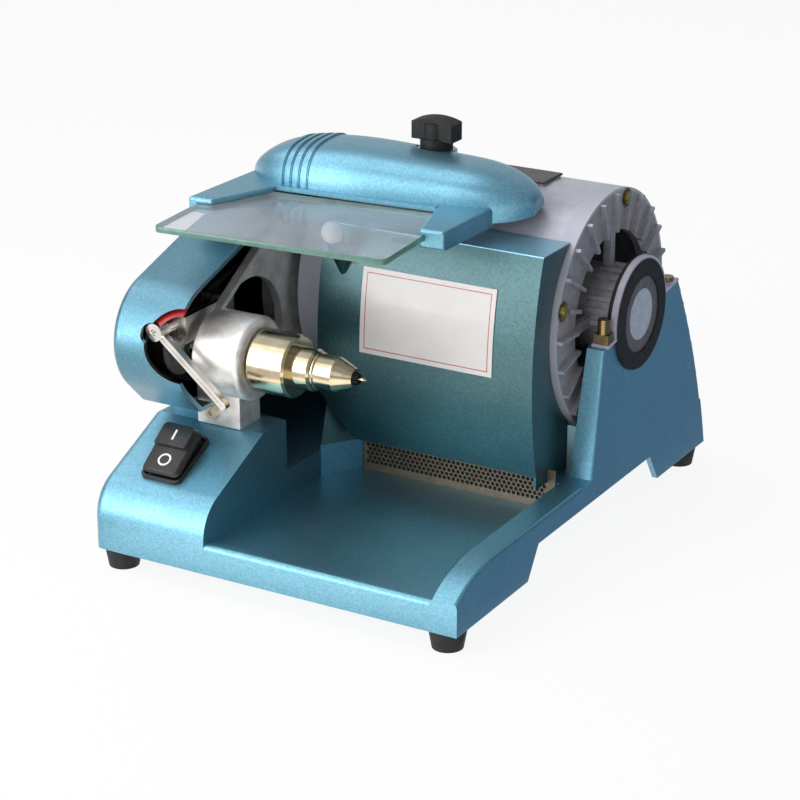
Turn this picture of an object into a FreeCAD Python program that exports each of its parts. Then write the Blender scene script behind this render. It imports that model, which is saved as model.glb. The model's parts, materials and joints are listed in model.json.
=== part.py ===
"""Belt-driven bench carving lathe: base with drip tray, motor, collet spindle, hood and glass shield.

Millimetres. X to the right, Y to the back, Z up. The origin is the middle of the footprint, on the bench.
Depths named *_setback are measured from the front face of the base.
"""
import FreeCAD, Part
import math
import os

V = FreeCAD.Vector
X_DIR = V(1, 0, 0)
Y_DIR = V(0, 1, 0)
Z_DIR = V(0, 0, 1)

# cutting shapes reach this far past the piece they cut, and ribs this far into the wall they grow from
over = 1.0
sunk = 2.0

# base casting
base_width = 270.0
base_depth = 370.0
front = -base_depth / 2
rear = base_depth / 2
left = -base_width / 2
right = base_width / 2
foot_height = 14.0
wall = 4.0
lip_z = 34.5
lip_thick = 7.0
lip_round = 3.5
tray_floor_z = 31.3
cheek_rear_wall = 6.0
floor_thick = 4.0
desk_width = 86.0
desk_nose_z = 53.3
desk_slope = 24.4
desk_flat_z = 86.0
desk_depth = 100.0
desk_nose_round = 28.0
desk_side_round = 6.0
rail_width = 19.0
rail_front_z = 36.0
rail_top_z = 50.0
rail_rise = 46.0
rail_arc_share = 0.45
rail_arc_rise = 0.72
rail_round = 2.5
deck_setback = 170.0
deck_z = 50.0
corner_length = 27.0
corner_width = 19.0
corner_top_z = 53.0
gusset_z = 92.0
skirt_gap_z = 35.0
skirt_gap_front = 94.0
skirt_gap_rear = 290.0
skirt_gap_slant = 14.0

# right cheek
cheek_front_foot = 185.0
cheek_front_top = 197.0
cheek_rear_top = 313.0
cheek_front_z = 137.0
cheek_rear_z = 154.0
cheek_bulge = 6.0
cheek_thick_low = 17.0
cheek_thick_top = 11.5
cheek_round = 2.0

# feet
foot_inset_x = 13.5
foot_inset_y = 13.5
foot_top_radius = 12.5
foot_low_radius = 10.0
foot_screw_radius = 2.5
foot_boss_radius = 9.0
foot_screw_grip = 10.0
foot_screw_head_radius = 4.5
foot_screw_recess = 6.0
foot_screw_head_height = 3.0

# perforated strip
strip_thick = 1.2
filter_thick = 0.8
strip_clear = 0.1
strip_top_z = 59.0
strip_hole_pitch = 3.5
strip_hole_radius = 1.4
strip_rows = 6
vent_margin = 5.0

# motor
motor_setback = 250.0
motor_z = 147.0
frame_radius = 82.0
frame_top = motor_z + frame_radius
frame_wall = 4.0
frame_left = left + 73.0
frame_right = right - 32.0
bell_radius = frame_radius
left_bell_radius = 83.0
bell_wall = 6.0
right_bell_face = right - 21.0
bell_face_thick = 5.0
vent_outer_radius = 54.0
bell_rib_count = 24
bell_rib_width = 2.4
bell_rib_height = 4.0
bell_rib_end = 2.0
spoke_count = 4
spoke_width = 7.0
hub_radius = 30.0
hub_rib_count = 24
hub_rib_width = 3.0
hub_rib_height = 1.6
left_bell_face = left + 54.0
spigot_radius = 62.0
spigot_wall = 8.0
spigot_reach = 15.0
bearing_radius = 20.0
bearing_width = 12.0
bearing_lip = 2.0
shaft_end_room = 8.0
shaft_clear = 1.0
shaft_radius = 8.5
bolt_circle = frame_radius - 7.0
bolt_radius = 2.5
bolt_angle = 75.0
bolt_count = 4
bolt_nut_radius = 4.6
bolt_nut_thick = 4.5
bolt_end = 1.0
bolt_pocket_radius = 7.0
bolt_pocket_depth = 3.0
bolt_groove = 0.8
stator_bore = 45.5
stator_left = left + 110.0
stator_right = right - 110.0
winding_inner = 49.0
winding_outer = 69.0
winding_reach = 15.0
winding_round = 6.0
air_gap = 0.8
fan_radius = 62.0
fan_left = right - 75.0
fan_width = 12.0
fan_hub_radius = 20.0
fan_blades = 9
fan_blade_thick = 2.5
fan_disc = 2.0

# rubber ring and strap on the right cheek
ring_left = right - 6.0
ring_face = right + 2.5
ring_radius = 37.8
ring_bore = 26.0
ring_face_round = 1.5
cap_recess = 1.2
cap_thick = 3.0
disc_radius = 17.4
disc_thick = 1.0
strap_thick = 1.8
strap_left = right - 10.9
strap_width = 12.4
strap_band_width = 4.0
strap_rear_head = 2.5
strap_front_ear = 10.0
strap_rear_ear = 20.0
strap_hole_inset = 5.0
strap_screw_radius = 2.5
strap_screw_length = 22.0
strap_head_radius = 4.2
strap_head_height = 16.0
strap_block_height = 6.0
strap_block_side = 1.0
strap_shank_short = 2.0
seat_clear = 0.05

# spindle
spindle_setback = 78.0
spindle_z = 135.0
spindle_radius = 10.0
spindle_bore = 5.0
spindle_left = left + 4.0
housing_radius = 28.0
housing_left = left + 47.0
housing_right = left + 77.5
neck_radius = 17.0
neck_left = left + 42.5
spindle_bearing_radius = 18.5
spindle_bearing_width = 9.0
bearing_shoulder = 2.0
cap_ring_thick = 4.0
cap_ring_radius = 28.0
cap_ring_bore = 12.0
cap_ring_round = 3.6
nose_left = left + 82.1
nose_step = left + 111.0
nose_right = left + 125.5
nose_radius = 21.0
nose_step_radius = 14.0
nose_chamfer = 1.5
cone_flange_right = left + 128.0
cone_flange_radius = 12.6
cone_radius = 11.6
cone_right = left + 153.0
cone_end_radius = 6.2
cone_straight = 12.5
cone_chamfer = 0.8
collet_right = left + 156.0
collet_radius = 4.8
collet_tip_radius = 3.2
collet_left = left + 115.0
collet_slit = 0.8
needle_radius = 1.175
needle_right = left + 161.0
needle_left = left + 123.0
needle_tip_length = 2.0
needle_tip_radius = 0.3
drawbar_radius = 4.0
drawbar_left = left + 23.0
run_fit = 0.05
slide_fit = 0.15

# spindle head casting on the motor
flange_left = left + 23.0
flange_right = left + 47.0
flange_radius = 80.0
web_left = left + 43.0
web_thick = 6.0
web_spindle_radius = 22.0
web_knee_reach = 92.0
web_knee_radius = 59.0
web_motor_radius = 74.0
web_rim = 3.5
web_window_reach = 37.0
web_window_drop = 1.0
web_window_radius = 40.0
head_foot_left = left + 36.5
head_foot_right = left + 69.5
head_foot_setback = 70.0
head_foot_depth = 24.0
clamp_screw_radius = 3.0
clamp_head_radius = 4.6
clamp_head_height = 3.0
clamp_screw_length = 14.0
clamp_inset = 12.0
clamp_rise = 9.0
foot_room = 1.0
clamp_socket_depth = 2.0
clamp_socket_radius = 2.2

# belt drive
pulley_left = left + 5.0
pulley_width = 16.0
motor_pulley_radius = 40.0
spindle_pulley_radius = 18.0
pulley_rim = 3.0
rim_width = 1.6
belt_width = 12.0
belt_thick = 3.0
belt_clear = 0.3

# quick-release lever
lever_axis_x = left + 29.5
lever_axis_z = 157.5
cross_shaft_radius = 4.5
cross_shaft_end = 3.0
lever_front = 33.0
lever_hub_width = 10.0
lever_hub_radius = 6.0
lever_socket_radius = 2.2
lever_length = 65.0
lever_drop = 40.0
lever_bar_width = 5.0
lever_bar_thick = 5.0
lever_groove = 1.0
finger_width = 20.0
finger_thick = 5.0
finger_reach = 11.9
bracket_lug_gap = 42.0
bracket_lug_thick = 7.0
bracket_plate = 4.0
bracket_edge = 3.0
collar_radius = 16.0
collar_width = 4.0
collar_play = 0.6
collar_room = 1.5
collar_pin_radius = 1.5
collar_pin_inset = 0.5
drawbar_travel = 4.6
spring_count = 6
spring_pitch = 2.2
spring_radius = 4.9
spring_gap = 2.0

# belt guard
guard_wall = 3.0
guard_round = 5.0
guard_round_above = 5.0
belt_guard_width = 50.0
belt_guard_front_radius = 41.5
belt_guard_front_setback = 68.0
belt_guard_front_z = 145.0
belt_guard_rear_radius = 84.0
belt_guard_chin = 225.0
belt_guard_knee_setback = 125.0
belt_guard_knee_radius = 58.5
belt_guard_lip_z = 100.0
belt_guard_heel_setback = 88.0
lever_notch_radius = 24.0
lever_notch_z = 151.0
lever_scallop = 1.0
liner_thick = 1.5
liner_width = 46.0
liner_inset = 5.0
liner_low_z = 160.0
liner_rear_setback = 60.0
guard_screw_head = 7.0
guard_screw_radius = 2.0
guard_screw_front_rise = 30.0
guard_screw_rear_rise = 65.0
guard_screw_rear_reach = 46.0
guard_screw_low_rise = 16.0
guard_boss_radius = 6.0
guard_boss_height = 0.5

# motor guard
guard_left = left + 84.0
guard_right = right - 25.0
guard_low_setback = 152.0
guard_mid_setback = 143.5
guard_top_setback = 156.8
guard_low_z = 59.0
guard_mid_z = 128.0
guard_top_z = 208.0
guard_back_setback = 197.0
guard_sheet = 2.0
guard_motor_gap = 1.0
guard_corner_width = 24.0
guard_rest_front = 171.5
guard_rest_rear = 180.0
plate_left = -18.0
plate_right = 81.0
plate_low_z = 126.0
plate_top_z = 184.0
plate_thick = 0.6
plate_bond = 0.1

# lamp on the motor guard
lamp_x = left + 101.0
lamp_base_z = 181.0
lamp_lean = 26.0
lamp_holder_length = 24.0
lamp_holder_low_radius = 3.2
lamp_holder_top_radius = 6.5
lamp_radius = 7.6
lamp_base_sink = 5.0
lamp_overlap = 0.8
lamp_neck = 0.6

# hood, glass and clamp knob
hood_turn = 4.5
knob_setback = 214.0
hood_left = -126.0
hood_right = 84.0
hood_front_setback = 164.0
hood_rear_setback = 227.0
hood_spring_z = frame_top - 3.0
hood_low_front_z = frame_top - 12.0
hood_low_rear_z = frame_top + 1.0
hood_crest_z = frame_top + 22.3
hood_wall = 2.5
hood_left_end = 36.0
hood_right_end = 62.0
hood_left_power = 1.6
hood_right_power = 2.0
hood_steps = 12
hood_stations = (0.03, 0.12, 0.3, 0.6, 1.0)
ledge_front_setback = 157.0
hood_fullness = 2.8
hood_rib_first = -91.0
hood_rib_pitch = 6.5
hood_rib_count = 4
hood_rib_widths = (4.8, 3.0)
hood_rib_rises = (0.5, 1.0)
arm_top_z = frame_top - 0.5
left_arm_low_z = frame_top - 11.0
left_arm_rise_setback = 168.0
left_arm_rise = 6.0
right_arm_low_z = frame_top - 13.0
arm_front_setback = 110.0
left_arm_rear_setback = 192.0
left_arm_outer = -131.0
left_arm_inner = -113.0
left_arm_bend_x = -102.0
left_arm_bend_setback = 130.5
left_arm_root = -90.5
left_arm_heel = -122.0
right_arm_inner = 36.0
right_arm_outer = 53.0
right_arm_root_inner = 26.0
right_arm_root_outer = 61.5
right_arm_rear_setback = 186.0
arm_round = 2.0
glass_left = -124.0
glass_right = 39.5
glass_front_setback = 53.0
glass_rear_setback = 155.0
glass_low_z = frame_top - 8.0
glass_thick = 4.0
glass_clear = 0.3
glass_slot_end = 42.0
knob_bar_length = 31.5
knob_bar_width = 14.5
knob_bar_low_z = frame_top + 28.5
knob_top_z = frame_top + 43.0
knob_crown = 3.0
knob_round = 1.5
knob_stem_radius = 11.0
knob_core_radius = 9.0
knob_washer_thick = 1.2
knob_washer_radius = 12.5
stud_radius = 4.0
stud_low_z = frame_top - 5.0
hood_boss_low_z = frame_top + 7.0
hood_boss_top_z = frame_top + 20.8
hood_boss_radius = 14.0
post_radius = 6.5
post_foot_width = 34.0
post_foot_depth = 16.0
post_foot_z = frame_top - 0.5
post_screw_radius = 2.0
post_screw_head = 3.6
post_screw_spread = 25.0
post_screw_length = 11.0
post_screw_head_height = 2.4

# rocker switch on the desk
switch_x = left + 39.0
switch_setback = 40.0
bezel_width = 29.5
bezel_length = 40.4
bezel_height = 6.5
bezel_slope = 0.6
rocker_width = 24.0
rocker_length = 35.0
rocker_height = 10.5
rocker_dip = 2.5
rocker_gap = 0.6
rocker_end_clear = 1.3
rocker_tilt = 11.0
rocker_pivot_up = 1.0
rocker_pin_radius = 1.5
rocker_pin_grip = 0.6
rocker_keel = 3.0
switch_body_depth = 22.0
switch_body_wall = 1.2
switch_cavity_depth = 9.0
cutout_clear = 0.2

# electrics
box_left = 20.0
box_right = 68.0
box_front_setback = 238.0
box_rear_setback = 263.0
box_lid_z = frame_top + 0.8
box_lid_thick = 1.6
box_lid_lip = 1.0
box_lid_round = 1.0
capacitor_radius = 17.5
capacitor_length = 70.0
capacitor_x = 20.0
capacitor_inset = 50.0
capacitor_clip = 2.0
capacitor_clip_width = 16.0
capacitor_round = 2.0
capacitor_pad = 8.0
inlet_x = left + 50.0
inlet_z = 31.0
inlet_width = 48.0
inlet_height = 22.0
inlet_socket_width = 26.0
inlet_socket_height = 16.0
inlet_depth = 24.0
inlet_recess = 2.0
inlet_wall = 1.5
inlet_floor = 6.0
inlet_pin = 2.0
inlet_pin_pitch = 7.0
inlet_pin_inset = 4.0

# places worked out from the sizes above
desk_right = left + desk_width
rail_left = right - rail_width
motor_y = front + motor_setback
spindle_y = front + spindle_setback
knob_y = front + knob_setback
desk_tan = math.tan(math.radians(desk_slope))
desk_cos = math.cos(math.radians(desk_slope))
collar_left = lever_axis_x + finger_thick / 2 + collar_play
pulley_right = pulley_left + pulley_width


def box(x0, x1, y0, y1, z0, z1):
    return Part.makeBox(x1 - x0, y1 - y0, z1 - z0, V(x0, y0, z0))


def rod_x(x0, x1, y, z, radius):
    return Part.makeCylinder(radius, x1 - x0, V(x0, y, z), X_DIR)


def rod_y(x, y0, y1, z, radius):
    return Part.makeCylinder(radius, y1 - y0, V(x, y0, z), Y_DIR)


def rod_z(x, y, z0, z1, radius):
    return Part.makeCylinder(radius, z1 - z0, V(x, y, z0), Z_DIR)


def tube_x(x0, x1, y, z, outer, inner):
    return rod_x(x0, x1, y, z, outer).cut(rod_x(x0 - over, x1 + over, y, z, inner))


def cone_x(x0, x1, y, z, radius0, radius1):
    return Part.makeCone(radius0, radius1, x1 - x0, V(x0, y, z), X_DIR)


def plate_yz(points, x0, x1):
    """Solid from a closed outline of (y, z) points, from x0 to x1."""
    corners = [V(x0, y, z) for y, z in points]
    outline = Part.makePolygon(corners + corners[:1])
    return Part.Face(outline).extrude(V(x1 - x0, 0, 0))


def plate_xz(points, y0, y1):
    corners = [V(x, y0, z) for x, z in points]
    outline = Part.makePolygon(corners + corners[:1])
    return Part.Face(outline).extrude(V(0, y1 - y0, 0))


def plate_xy(points, z0, z1):
    corners = [V(x, y, z0) for x, y in points]
    outline = Part.makePolygon(corners + corners[:1])
    return Part.Face(outline).extrude(V(0, 0, z1 - z0))


def rounded(shape, radius, wanted):
    edges = [edge for edge in shape.Edges if wanted(edge)]
    return shape.makeFillet(radius, edges)


def runs_along(edge, axis):
    """True for a straight edge along the unit vector axis."""
    if not isinstance(edge.Curve, Part.Line):
        return False
    start, end = (vertex.Point for vertex in edge.Vertexes)
    return abs(abs((end - start).normalize().dot(axis)) - 1) < 1e-6


def near(value, target):
    return abs(value - target) < 1e-3


def turned(shape, degrees, centre, axis):
    copy = shape.copy()
    copy.rotate(centre, axis, degrees)
    return copy


def ring_of(shape, count, y, z):
    """Copies of a shape turned about the line along X through (y, z)."""
    step = 360.0 / count
    return [turned(shape, step * index, V(0, y, z), X_DIR) for index in range(count)]


def solid_of(shape):
    return shape.removeSplitter()


def foot_places():
    return [(side * (right - foot_inset_x), end * (rear - foot_inset_y))
            for side in (-1, 1) for end in (-1, 1)]


def desk_line(setback):
    """Height of the desk's sloped top at a distance behind the front face."""
    return desk_nose_z + setback * desk_tan


def desk_outline(inset):
    """Side outline of the switch desk, moved inwards by inset."""
    low = foot_height - (1 if inset else 0)
    drop = inset / desk_cos
    flat = desk_flat_z - inset
    flat_start = (flat + drop - desk_nose_z) / desk_tan
    return [(front + inset, low), (front + inset, desk_line(inset) - drop), (front + flat_start, flat),
            (front + desk_depth - inset, flat), (front + desk_depth - inset, low)]


def desk_block(inset):
    """The desk's solid with its rounded nose, moved inwards by inset."""
    block = plate_yz(desk_outline(inset), left + inset, desk_right - inset)
    nose_z = desk_line(inset) - inset / desk_cos
    return rounded(block, desk_nose_round - inset,
                   lambda edge: runs_along(edge, X_DIR) and near(edge.CenterOfMass.z, nose_z))


def desk():
    block = desk_block(0)
    return rounded(block, desk_side_round,
                   lambda edge: near(edge.CenterOfMass.x, left) and edge.CenterOfMass.z > foot_height + over
                   and edge.CenterOfMass.y < front + desk_depth - over)


def right_rail():
    low_rise = (rail_top_z - rail_front_z) * rail_arc_rise
    start = V(rail_left, front, rail_front_z)
    middle = V(rail_left, front + rail_rise * rail_arc_share, rail_front_z + low_rise)
    top = V(rail_left, front + rail_rise, rail_top_z)
    back = V(rail_left, front + cheek_front_top, rail_top_z)
    low_back = V(rail_left, front + cheek_front_top, foot_height)
    low_front = V(rail_left, front, foot_height)
    edges = [Part.Arc(start, middle, top).toShape(), Part.makeLine(top, back), Part.makeLine(back,
                                                                                             low_back),
             Part.makeLine(low_back, low_front), Part.makeLine(low_front, start)]
    rail = Part.Face(Part.Wire(edges)).extrude(V(rail_width, 0, 0))
    return rounded(rail, rail_round,
                   lambda edge: edge.CenterOfMass.z > rail_front_z + over and not runs_along(edge, X_DIR)
                   and edge.CenterOfMass.y < front + cheek_front_top - over)


def cheek_side(thick):
    """Side outline of the right cheek, extruded inwards. The deck's rear wall shares its rear curve."""
    low = foot_height
    front_foot = V(right, front + cheek_front_foot, rail_top_z)
    front_top = V(right, front + cheek_front_top, cheek_front_z)
    rear_top = V(right, front + cheek_rear_top, cheek_rear_z)
    rear_foot = V(right, rear, low)
    chord = rear_foot - rear_top
    across = V(0, -chord.z, chord.y).normalize()
    middle = (rear_top + rear_foot) * 0.5 + across * cheek_bulge
    low_front = V(right, front + cheek_front_foot, low)
    edges = [Part.makeLine(front_foot, front_top), Part.makeLine(front_top, rear_top),
             Part.Arc(rear_top, middle, rear_foot).toShape(), Part.makeLine(rear_foot, low_front),
             Part.makeLine(low_front, front_foot)]
    return Part.Face(Part.Wire(edges)).extrude(V(-thick, 0, 0))


def right_cheek():
    cheek = cheek_side(cheek_thick_low)
    inner = right - cheek_thick_low
    top_z = max(cheek_front_z, cheek_rear_z)
    lean = plate_xz([(inner - over, deck_z), (inner, deck_z), (right - cheek_thick_top, top_z),
                     (right - cheek_thick_top, top_z + over), (inner - over, top_z + over)],
                    front, rear + over)
    cheek = cheek.cut(lean)
    cheek = rounded(cheek, cheek_round,
                    lambda edge: near(edge.CenterOfMass.x, right) and edge.CenterOfMass.z > rail_top_z + over
                    and (edge.CenterOfMass.y < front + cheek_front_top + over
                         or edge.CenterOfMass.y > front + cheek_rear_top + over))
    saddle = rod_x(inner - over, right + over, motor_y, motor_z, ring_radius + seat_clear)
    return cheek.cut(saddle)


def base_casting():
    tray = box(desk_right - wall, rail_left + wall, front, front + deck_setback, foot_height, lip_z)
    tray = rounded(tray, lip_round,
                   lambda edge: runs_along(edge, X_DIR) and near(edge.CenterOfMass.z, lip_z)
                   and near(edge.CenterOfMass.y, front))
    tray = tray.cut(box(desk_right, rail_left, front + lip_thick, front + deck_setback, tray_floor_z,
                        lip_z + over))
    deck = cheek_side(base_width).common(box(left, right, front + deck_setback, rear, foot_height, deck_z))
    deck = deck.fuse(box(left, right, front + deck_setback, front + cheek_front_foot + over,
                         foot_height, deck_z))
    rear_left = box(left, desk_right, front + desk_depth - wall, front + deck_setback + over,
                    foot_height, deck_z)
    corner = plate_xy([(desk_right - over, front + deck_setback - corner_length),
                       (desk_right, front + deck_setback - corner_length),
                       (desk_right + corner_width, front + deck_setback),
                       (desk_right - over, front + deck_setback)], tray_floor_z - over, corner_top_z)
    body = tray.multiFuse([desk(), right_rail(), deck, rear_left, corner, right_cheek()])
    under_tray = box(left + wall, right - wall, front + wall, front + deck_setback + wall,
                     foot_height - over, tray_floor_z - floor_thick)
    under_deck = box(left + wall, right - wall, front + deck_setback + wall, rear,
                     foot_height - over, deck_z - floor_thick)
    inside = cheek_side(base_width)
    inside.translate(V(0, -cheek_rear_wall, -over))
    under_deck = under_deck.common(inside.fuse(box(left, right, front, motor_y, 0, deck_z)))
    under_left = box(left + wall, desk_right - wall, front + desk_depth, front + deck_setback + wall + over,
                     foot_height - over, deck_z - floor_thick)
    under_rail = box(rail_left + wall, right - wall, front + rail_rise, front + deck_setback + wall,
                     foot_height - over, rail_top_z - floor_thick)
    under_rail_front = box(rail_left + wall, right - wall, front + wall, front + rail_rise + over,
                           foot_height - over, rail_front_z - floor_thick)
    body = body.cut(under_tray).cut(under_deck).cut(under_left).cut(under_rail).cut(under_rail_front)
    body = body.cut(desk_block(wall))
    gap = [(front + skirt_gap_front, foot_height - over), (front + skirt_gap_front, foot_height),
           (front + skirt_gap_front + skirt_gap_slant, skirt_gap_z),
           (front + skirt_gap_rear - skirt_gap_slant, skirt_gap_z),
           (front + skirt_gap_rear, foot_height), (front + skirt_gap_rear, foot_height - over)]
    body = body.cut(plate_yz(gap, right - wall - over, right + over))
    body = body.cut(plate_yz(gap, left - over, left + wall + over))
    bosses = []
    for x, y in foot_places():
        on_desk = x < 0 and y < 0
        on_rail = x > 0 and y < 0
        roof = desk_line(y - front) - wall / desk_cos if on_desk else deck_z - floor_thick
        roof = tray_floor_z - floor_thick if on_rail else roof
        boss = rod_z(x, y, foot_height, roof + over, foot_boss_radius)
        if on_desk:
            boss = boss.common(desk())
        bosses.append(boss if y < 0 else boss.common(cheek_side(base_width)))
    body = body.multiFuse(bosses)
    for x, y in foot_places():
        body = body.cut(rod_z(x, y, foot_height - over, foot_height + foot_screw_grip, foot_screw_radius))
    vent = box(desk_right + corner_width + vent_margin, rail_left - vent_margin,
               front + deck_setback - over,
               front + deck_setback + wall + over, tray_floor_z + vent_margin, deck_z - vent_margin)
    body = body.cut(vent)
    cutout = box(-rocker_width / 2 - rocker_gap - switch_body_wall - cutout_clear,
                 rocker_width / 2 + rocker_gap + switch_body_wall + cutout_clear,
                 -rocker_length / 2 - rocker_gap - switch_body_wall - cutout_clear,
                 rocker_length / 2 + rocker_gap + switch_body_wall + cutout_clear, -wall * 2, wall * 2)
    body = body.cut(on_desk_slope(cutout))
    half_x = inlet_width / 2 + cutout_clear
    half_z = inlet_height / 2 + cutout_clear
    recess = box(-half_x, half_x, -inlet_recess, inlet_recess, -half_z, half_z)
    half_x = inlet_socket_width / 2 + inlet_wall + cutout_clear
    half_z = inlet_socket_height / 2 + inlet_wall + cutout_clear
    inlet_hole = box(-half_x, half_x, -wall * 2, 0, -half_z, half_z)
    body = body.cut(on_rear_wall(recess)).cut(on_rear_wall(inlet_hole))
    for y, z in strap_ear_places():
        body = body.cut(rod_z(strap_middle(), y, z - strap_screw_length, z + over, strap_screw_radius))
    return solid_of(body)


def on_desk_slope(shape):
    """Puts a shape made on the level at the origin onto the sloped desk, at the switch."""
    copy = turned(shape, desk_slope, V(0, 0, 0), X_DIR)
    copy.translate(V(switch_x, front + switch_setback, desk_line(switch_setback)))
    return copy


def on_rear_wall(shape):
    """Puts a shape made at the origin, facing back, onto the sloping rear wall at the inlet."""
    rear_edge = [edge for edge in cheek_side(wall).Edges if isinstance(edge.Curve, Part.Circle)][0]
    centre = rear_edge.Curve.Center
    rise = (inlet_z - centre.z) / rear_edge.Curve.Radius
    reach = math.sqrt(1 - rise ** 2)
    copy = turned(shape, math.degrees(math.asin(rise)), V(0, 0, 0), X_DIR)
    copy.translate(V(inlet_x, centre.y + rear_edge.Curve.Radius * reach, inlet_z))
    return copy


def rubber_feet():
    feet = []
    for x, y in foot_places():
        foot = Part.makeCone(foot_low_radius, foot_top_radius, foot_height, V(x, y, 0), Z_DIR)
        recess = rod_z(x, y, -1, foot_screw_recess, foot_screw_head_radius + slide_fit)
        feet.append(foot.cut(recess).cut(rod_z(x, y, 0, foot_height + over, foot_screw_radius)))
    return Part.makeCompound(feet)


def foot_screws():
    screws = []
    for x, y in foot_places():
        head = rod_z(x, y, foot_screw_recess - foot_screw_head_height, foot_screw_recess,
                     foot_screw_head_radius)
        shank = rod_z(x, y, foot_screw_recess, foot_height + foot_screw_grip, foot_screw_radius)
        screws.append(head.fuse(shank))
    return Part.makeCompound(screws)


def perforated_strip():
    x0 = desk_right + corner_width
    x1 = rail_left
    y1 = front + deck_setback - filter_thick
    outline = Part.makePolygon([V(x0, y1, tray_floor_z), V(x1, y1, tray_floor_z), V(x1, y1, strip_top_z),
                                V(x0, y1, strip_top_z), V(x0, y1, tray_floor_z)])
    row_step = strip_hole_pitch * math.sqrt(3) / 2
    low_z = (tray_floor_z + strip_top_z - row_step * (strip_rows - 1)) / 2
    columns = int((x1 - x0 - 2 * strip_hole_pitch) / strip_hole_pitch)
    holes = []
    for row in range(strip_rows):
        shift = strip_hole_pitch / 2 * (row % 2)
        for column in range(columns):
            centre = V(x0 + strip_hole_pitch * (column + 1) + shift, y1, low_z + row_step * row)
            holes.append(Part.Wire(Part.makeCircle(strip_hole_radius, centre, Y_DIR)))
    face = Part.Face([Part.Wire(outline)] + holes, "Part::FaceMakerBullseye")
    return face.extrude(V(0, -strip_thick, 0)).cut(guard_side(strip_clear))


def filter_sheet():
    y1 = front + deck_setback
    sheet = box(desk_right + corner_width, rail_left, y1 - filter_thick, y1, tray_floor_z, strip_top_z)
    return sheet.cut(guard_side(strip_clear))


def motor_frame():
    frame = tube_x(frame_left, frame_right, motor_y, motor_z, frame_radius, frame_radius - frame_wall)
    for x, y in post_screw_places():
        frame = frame.cut(rod_z(x, y, motor_z, motor_z + frame_radius + over, post_screw_radius))
    return frame


def bolt_places():
    for index in range(bolt_count):
        angle = math.radians(bolt_angle + 360.0 / bolt_count * index)
        yield motor_y + bolt_circle * math.cos(angle), motor_z + bolt_circle * math.sin(angle)


def with_bolt_holes(shape, clearance):
    for y, z in bolt_places():
        shape = shape.cut(rod_x(left, right, y, z, bolt_radius + clearance))
    return shape


def right_bell():
    x1 = right_bell_face
    x0 = x1 - bell_face_thick
    rim = tube_x(frame_right, x1, motor_y, motor_z, bell_radius, bell_radius - bell_wall)
    face = tube_x(x0, x1, motor_y, motor_z, bell_radius, vent_outer_radius)
    hub = rod_x(x0 - bearing_width * 2, ring_left, motor_y, motor_z, hub_radius)
    nose = rod_x(ring_left, ring_face - cap_recess - cap_thick, motor_y, motor_z, ring_bore - seat_clear)
    spoke = box(x0, x1, motor_y + hub_radius - sunk, motor_y + vent_outer_radius + sunk,
                motor_z - spoke_width / 2, motor_z + spoke_width / 2)
    rib = box(x1 - over, x1 + bell_rib_height, motor_y + vent_outer_radius,
              motor_y + bell_radius - bell_rib_end,
              motor_z - bell_rib_width / 2, motor_z + bell_rib_width / 2)
    hub_rib = box(x1 - bell_face_thick, ring_left - sunk, motor_y + hub_radius - sunk,
                  motor_y + hub_radius + hub_rib_height,
                  motor_z - hub_rib_width / 2, motor_z + hub_rib_width / 2)
    bell = rim.multiFuse([face, hub, nose] + ring_of(spoke, spoke_count, motor_y, motor_z)
                         + ring_of(rib, bell_rib_count, motor_y, motor_z)
                         + ring_of(hub_rib, hub_rib_count, motor_y, motor_z))
    seat_left = x0 - bearing_width * 2
    bell = bell.cut(rod_x(seat_left - over, seat_left + bearing_width + shaft_end_room, motor_y, motor_z,
                          bearing_radius))
    for y, z in bolt_places():
        bell = bell.cut(rod_x(x1 - bolt_pocket_depth, x1 + bell_rib_height + over, y, z,
                              bolt_pocket_radius))
    return with_bolt_holes(bell, 0)


def left_bell():
    x0 = left_bell_face
    rim = tube_x(x0, frame_left, motor_y, motor_z, left_bell_radius, left_bell_radius - bell_wall)
    face = rod_x(x0, x0 + bell_face_thick, motor_y, motor_z, left_bell_radius)
    spigot = tube_x(x0 - spigot_reach, x0, motor_y, motor_z, spigot_radius, spigot_radius - spigot_wall)
    hub = rod_x(x0, x0 + bearing_width + bearing_lip, motor_y, motor_z,
                bearing_radius + bell_wall)
    bell = rim.multiFuse([face, spigot, hub])
    bell = bell.cut(rod_x(x0 + bearing_lip, frame_left, motor_y, motor_z, bearing_radius))
    bell = bell.cut(rod_x(x0 - over, x0 + bearing_lip + over, motor_y, motor_z, shaft_radius + shaft_clear))
    return with_bolt_holes(bell, 0)


def stator_core():
    core = tube_x(stator_left, stator_right, motor_y, motor_z, frame_radius - frame_wall, stator_bore)
    return with_bolt_holes(core, bolt_groove)


def stator_windings():
    coils = []
    for x0, x1, end in ((stator_left - winding_reach, stator_left, stator_left - winding_reach),
                        (stator_right, stator_right + winding_reach, stator_right + winding_reach)):
        coil = tube_x(x0, x1, motor_y, motor_z, winding_outer, winding_inner)
        coils.append(rounded(coil, winding_round, lambda edge: near(edge.CenterOfMass.x, end)
                             and isinstance(edge.Curve, Part.Circle)))
    return Part.makeCompound(coils)


def rotor_core():
    return tube_x(stator_left, stator_right, motor_y, motor_z, stator_bore - air_gap, shaft_radius)


def motor_shaft():
    x1 = right_bell_face - bell_face_thick - bearing_width * 2 + bearing_width + shaft_end_room / 2
    return rod_x(pulley_left - over, x1, motor_y, motor_z, shaft_radius)


def bearing_x(x0, width, y, z, outer, inner):
    """Ball bearing drawn as one ring with a groove between its races on each side."""
    ring = tube_x(x0, x0 + width, y, z, outer, inner + run_fit)
    middle = (outer + inner) / 2
    half = (outer - inner) / 6
    groove = tube_x(x0 - over, x0 + over, y, z, middle + half, middle - half)
    other = groove.copy()
    other.translate(V(width, 0, 0))
    return ring.cut(groove).cut(other)


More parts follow.
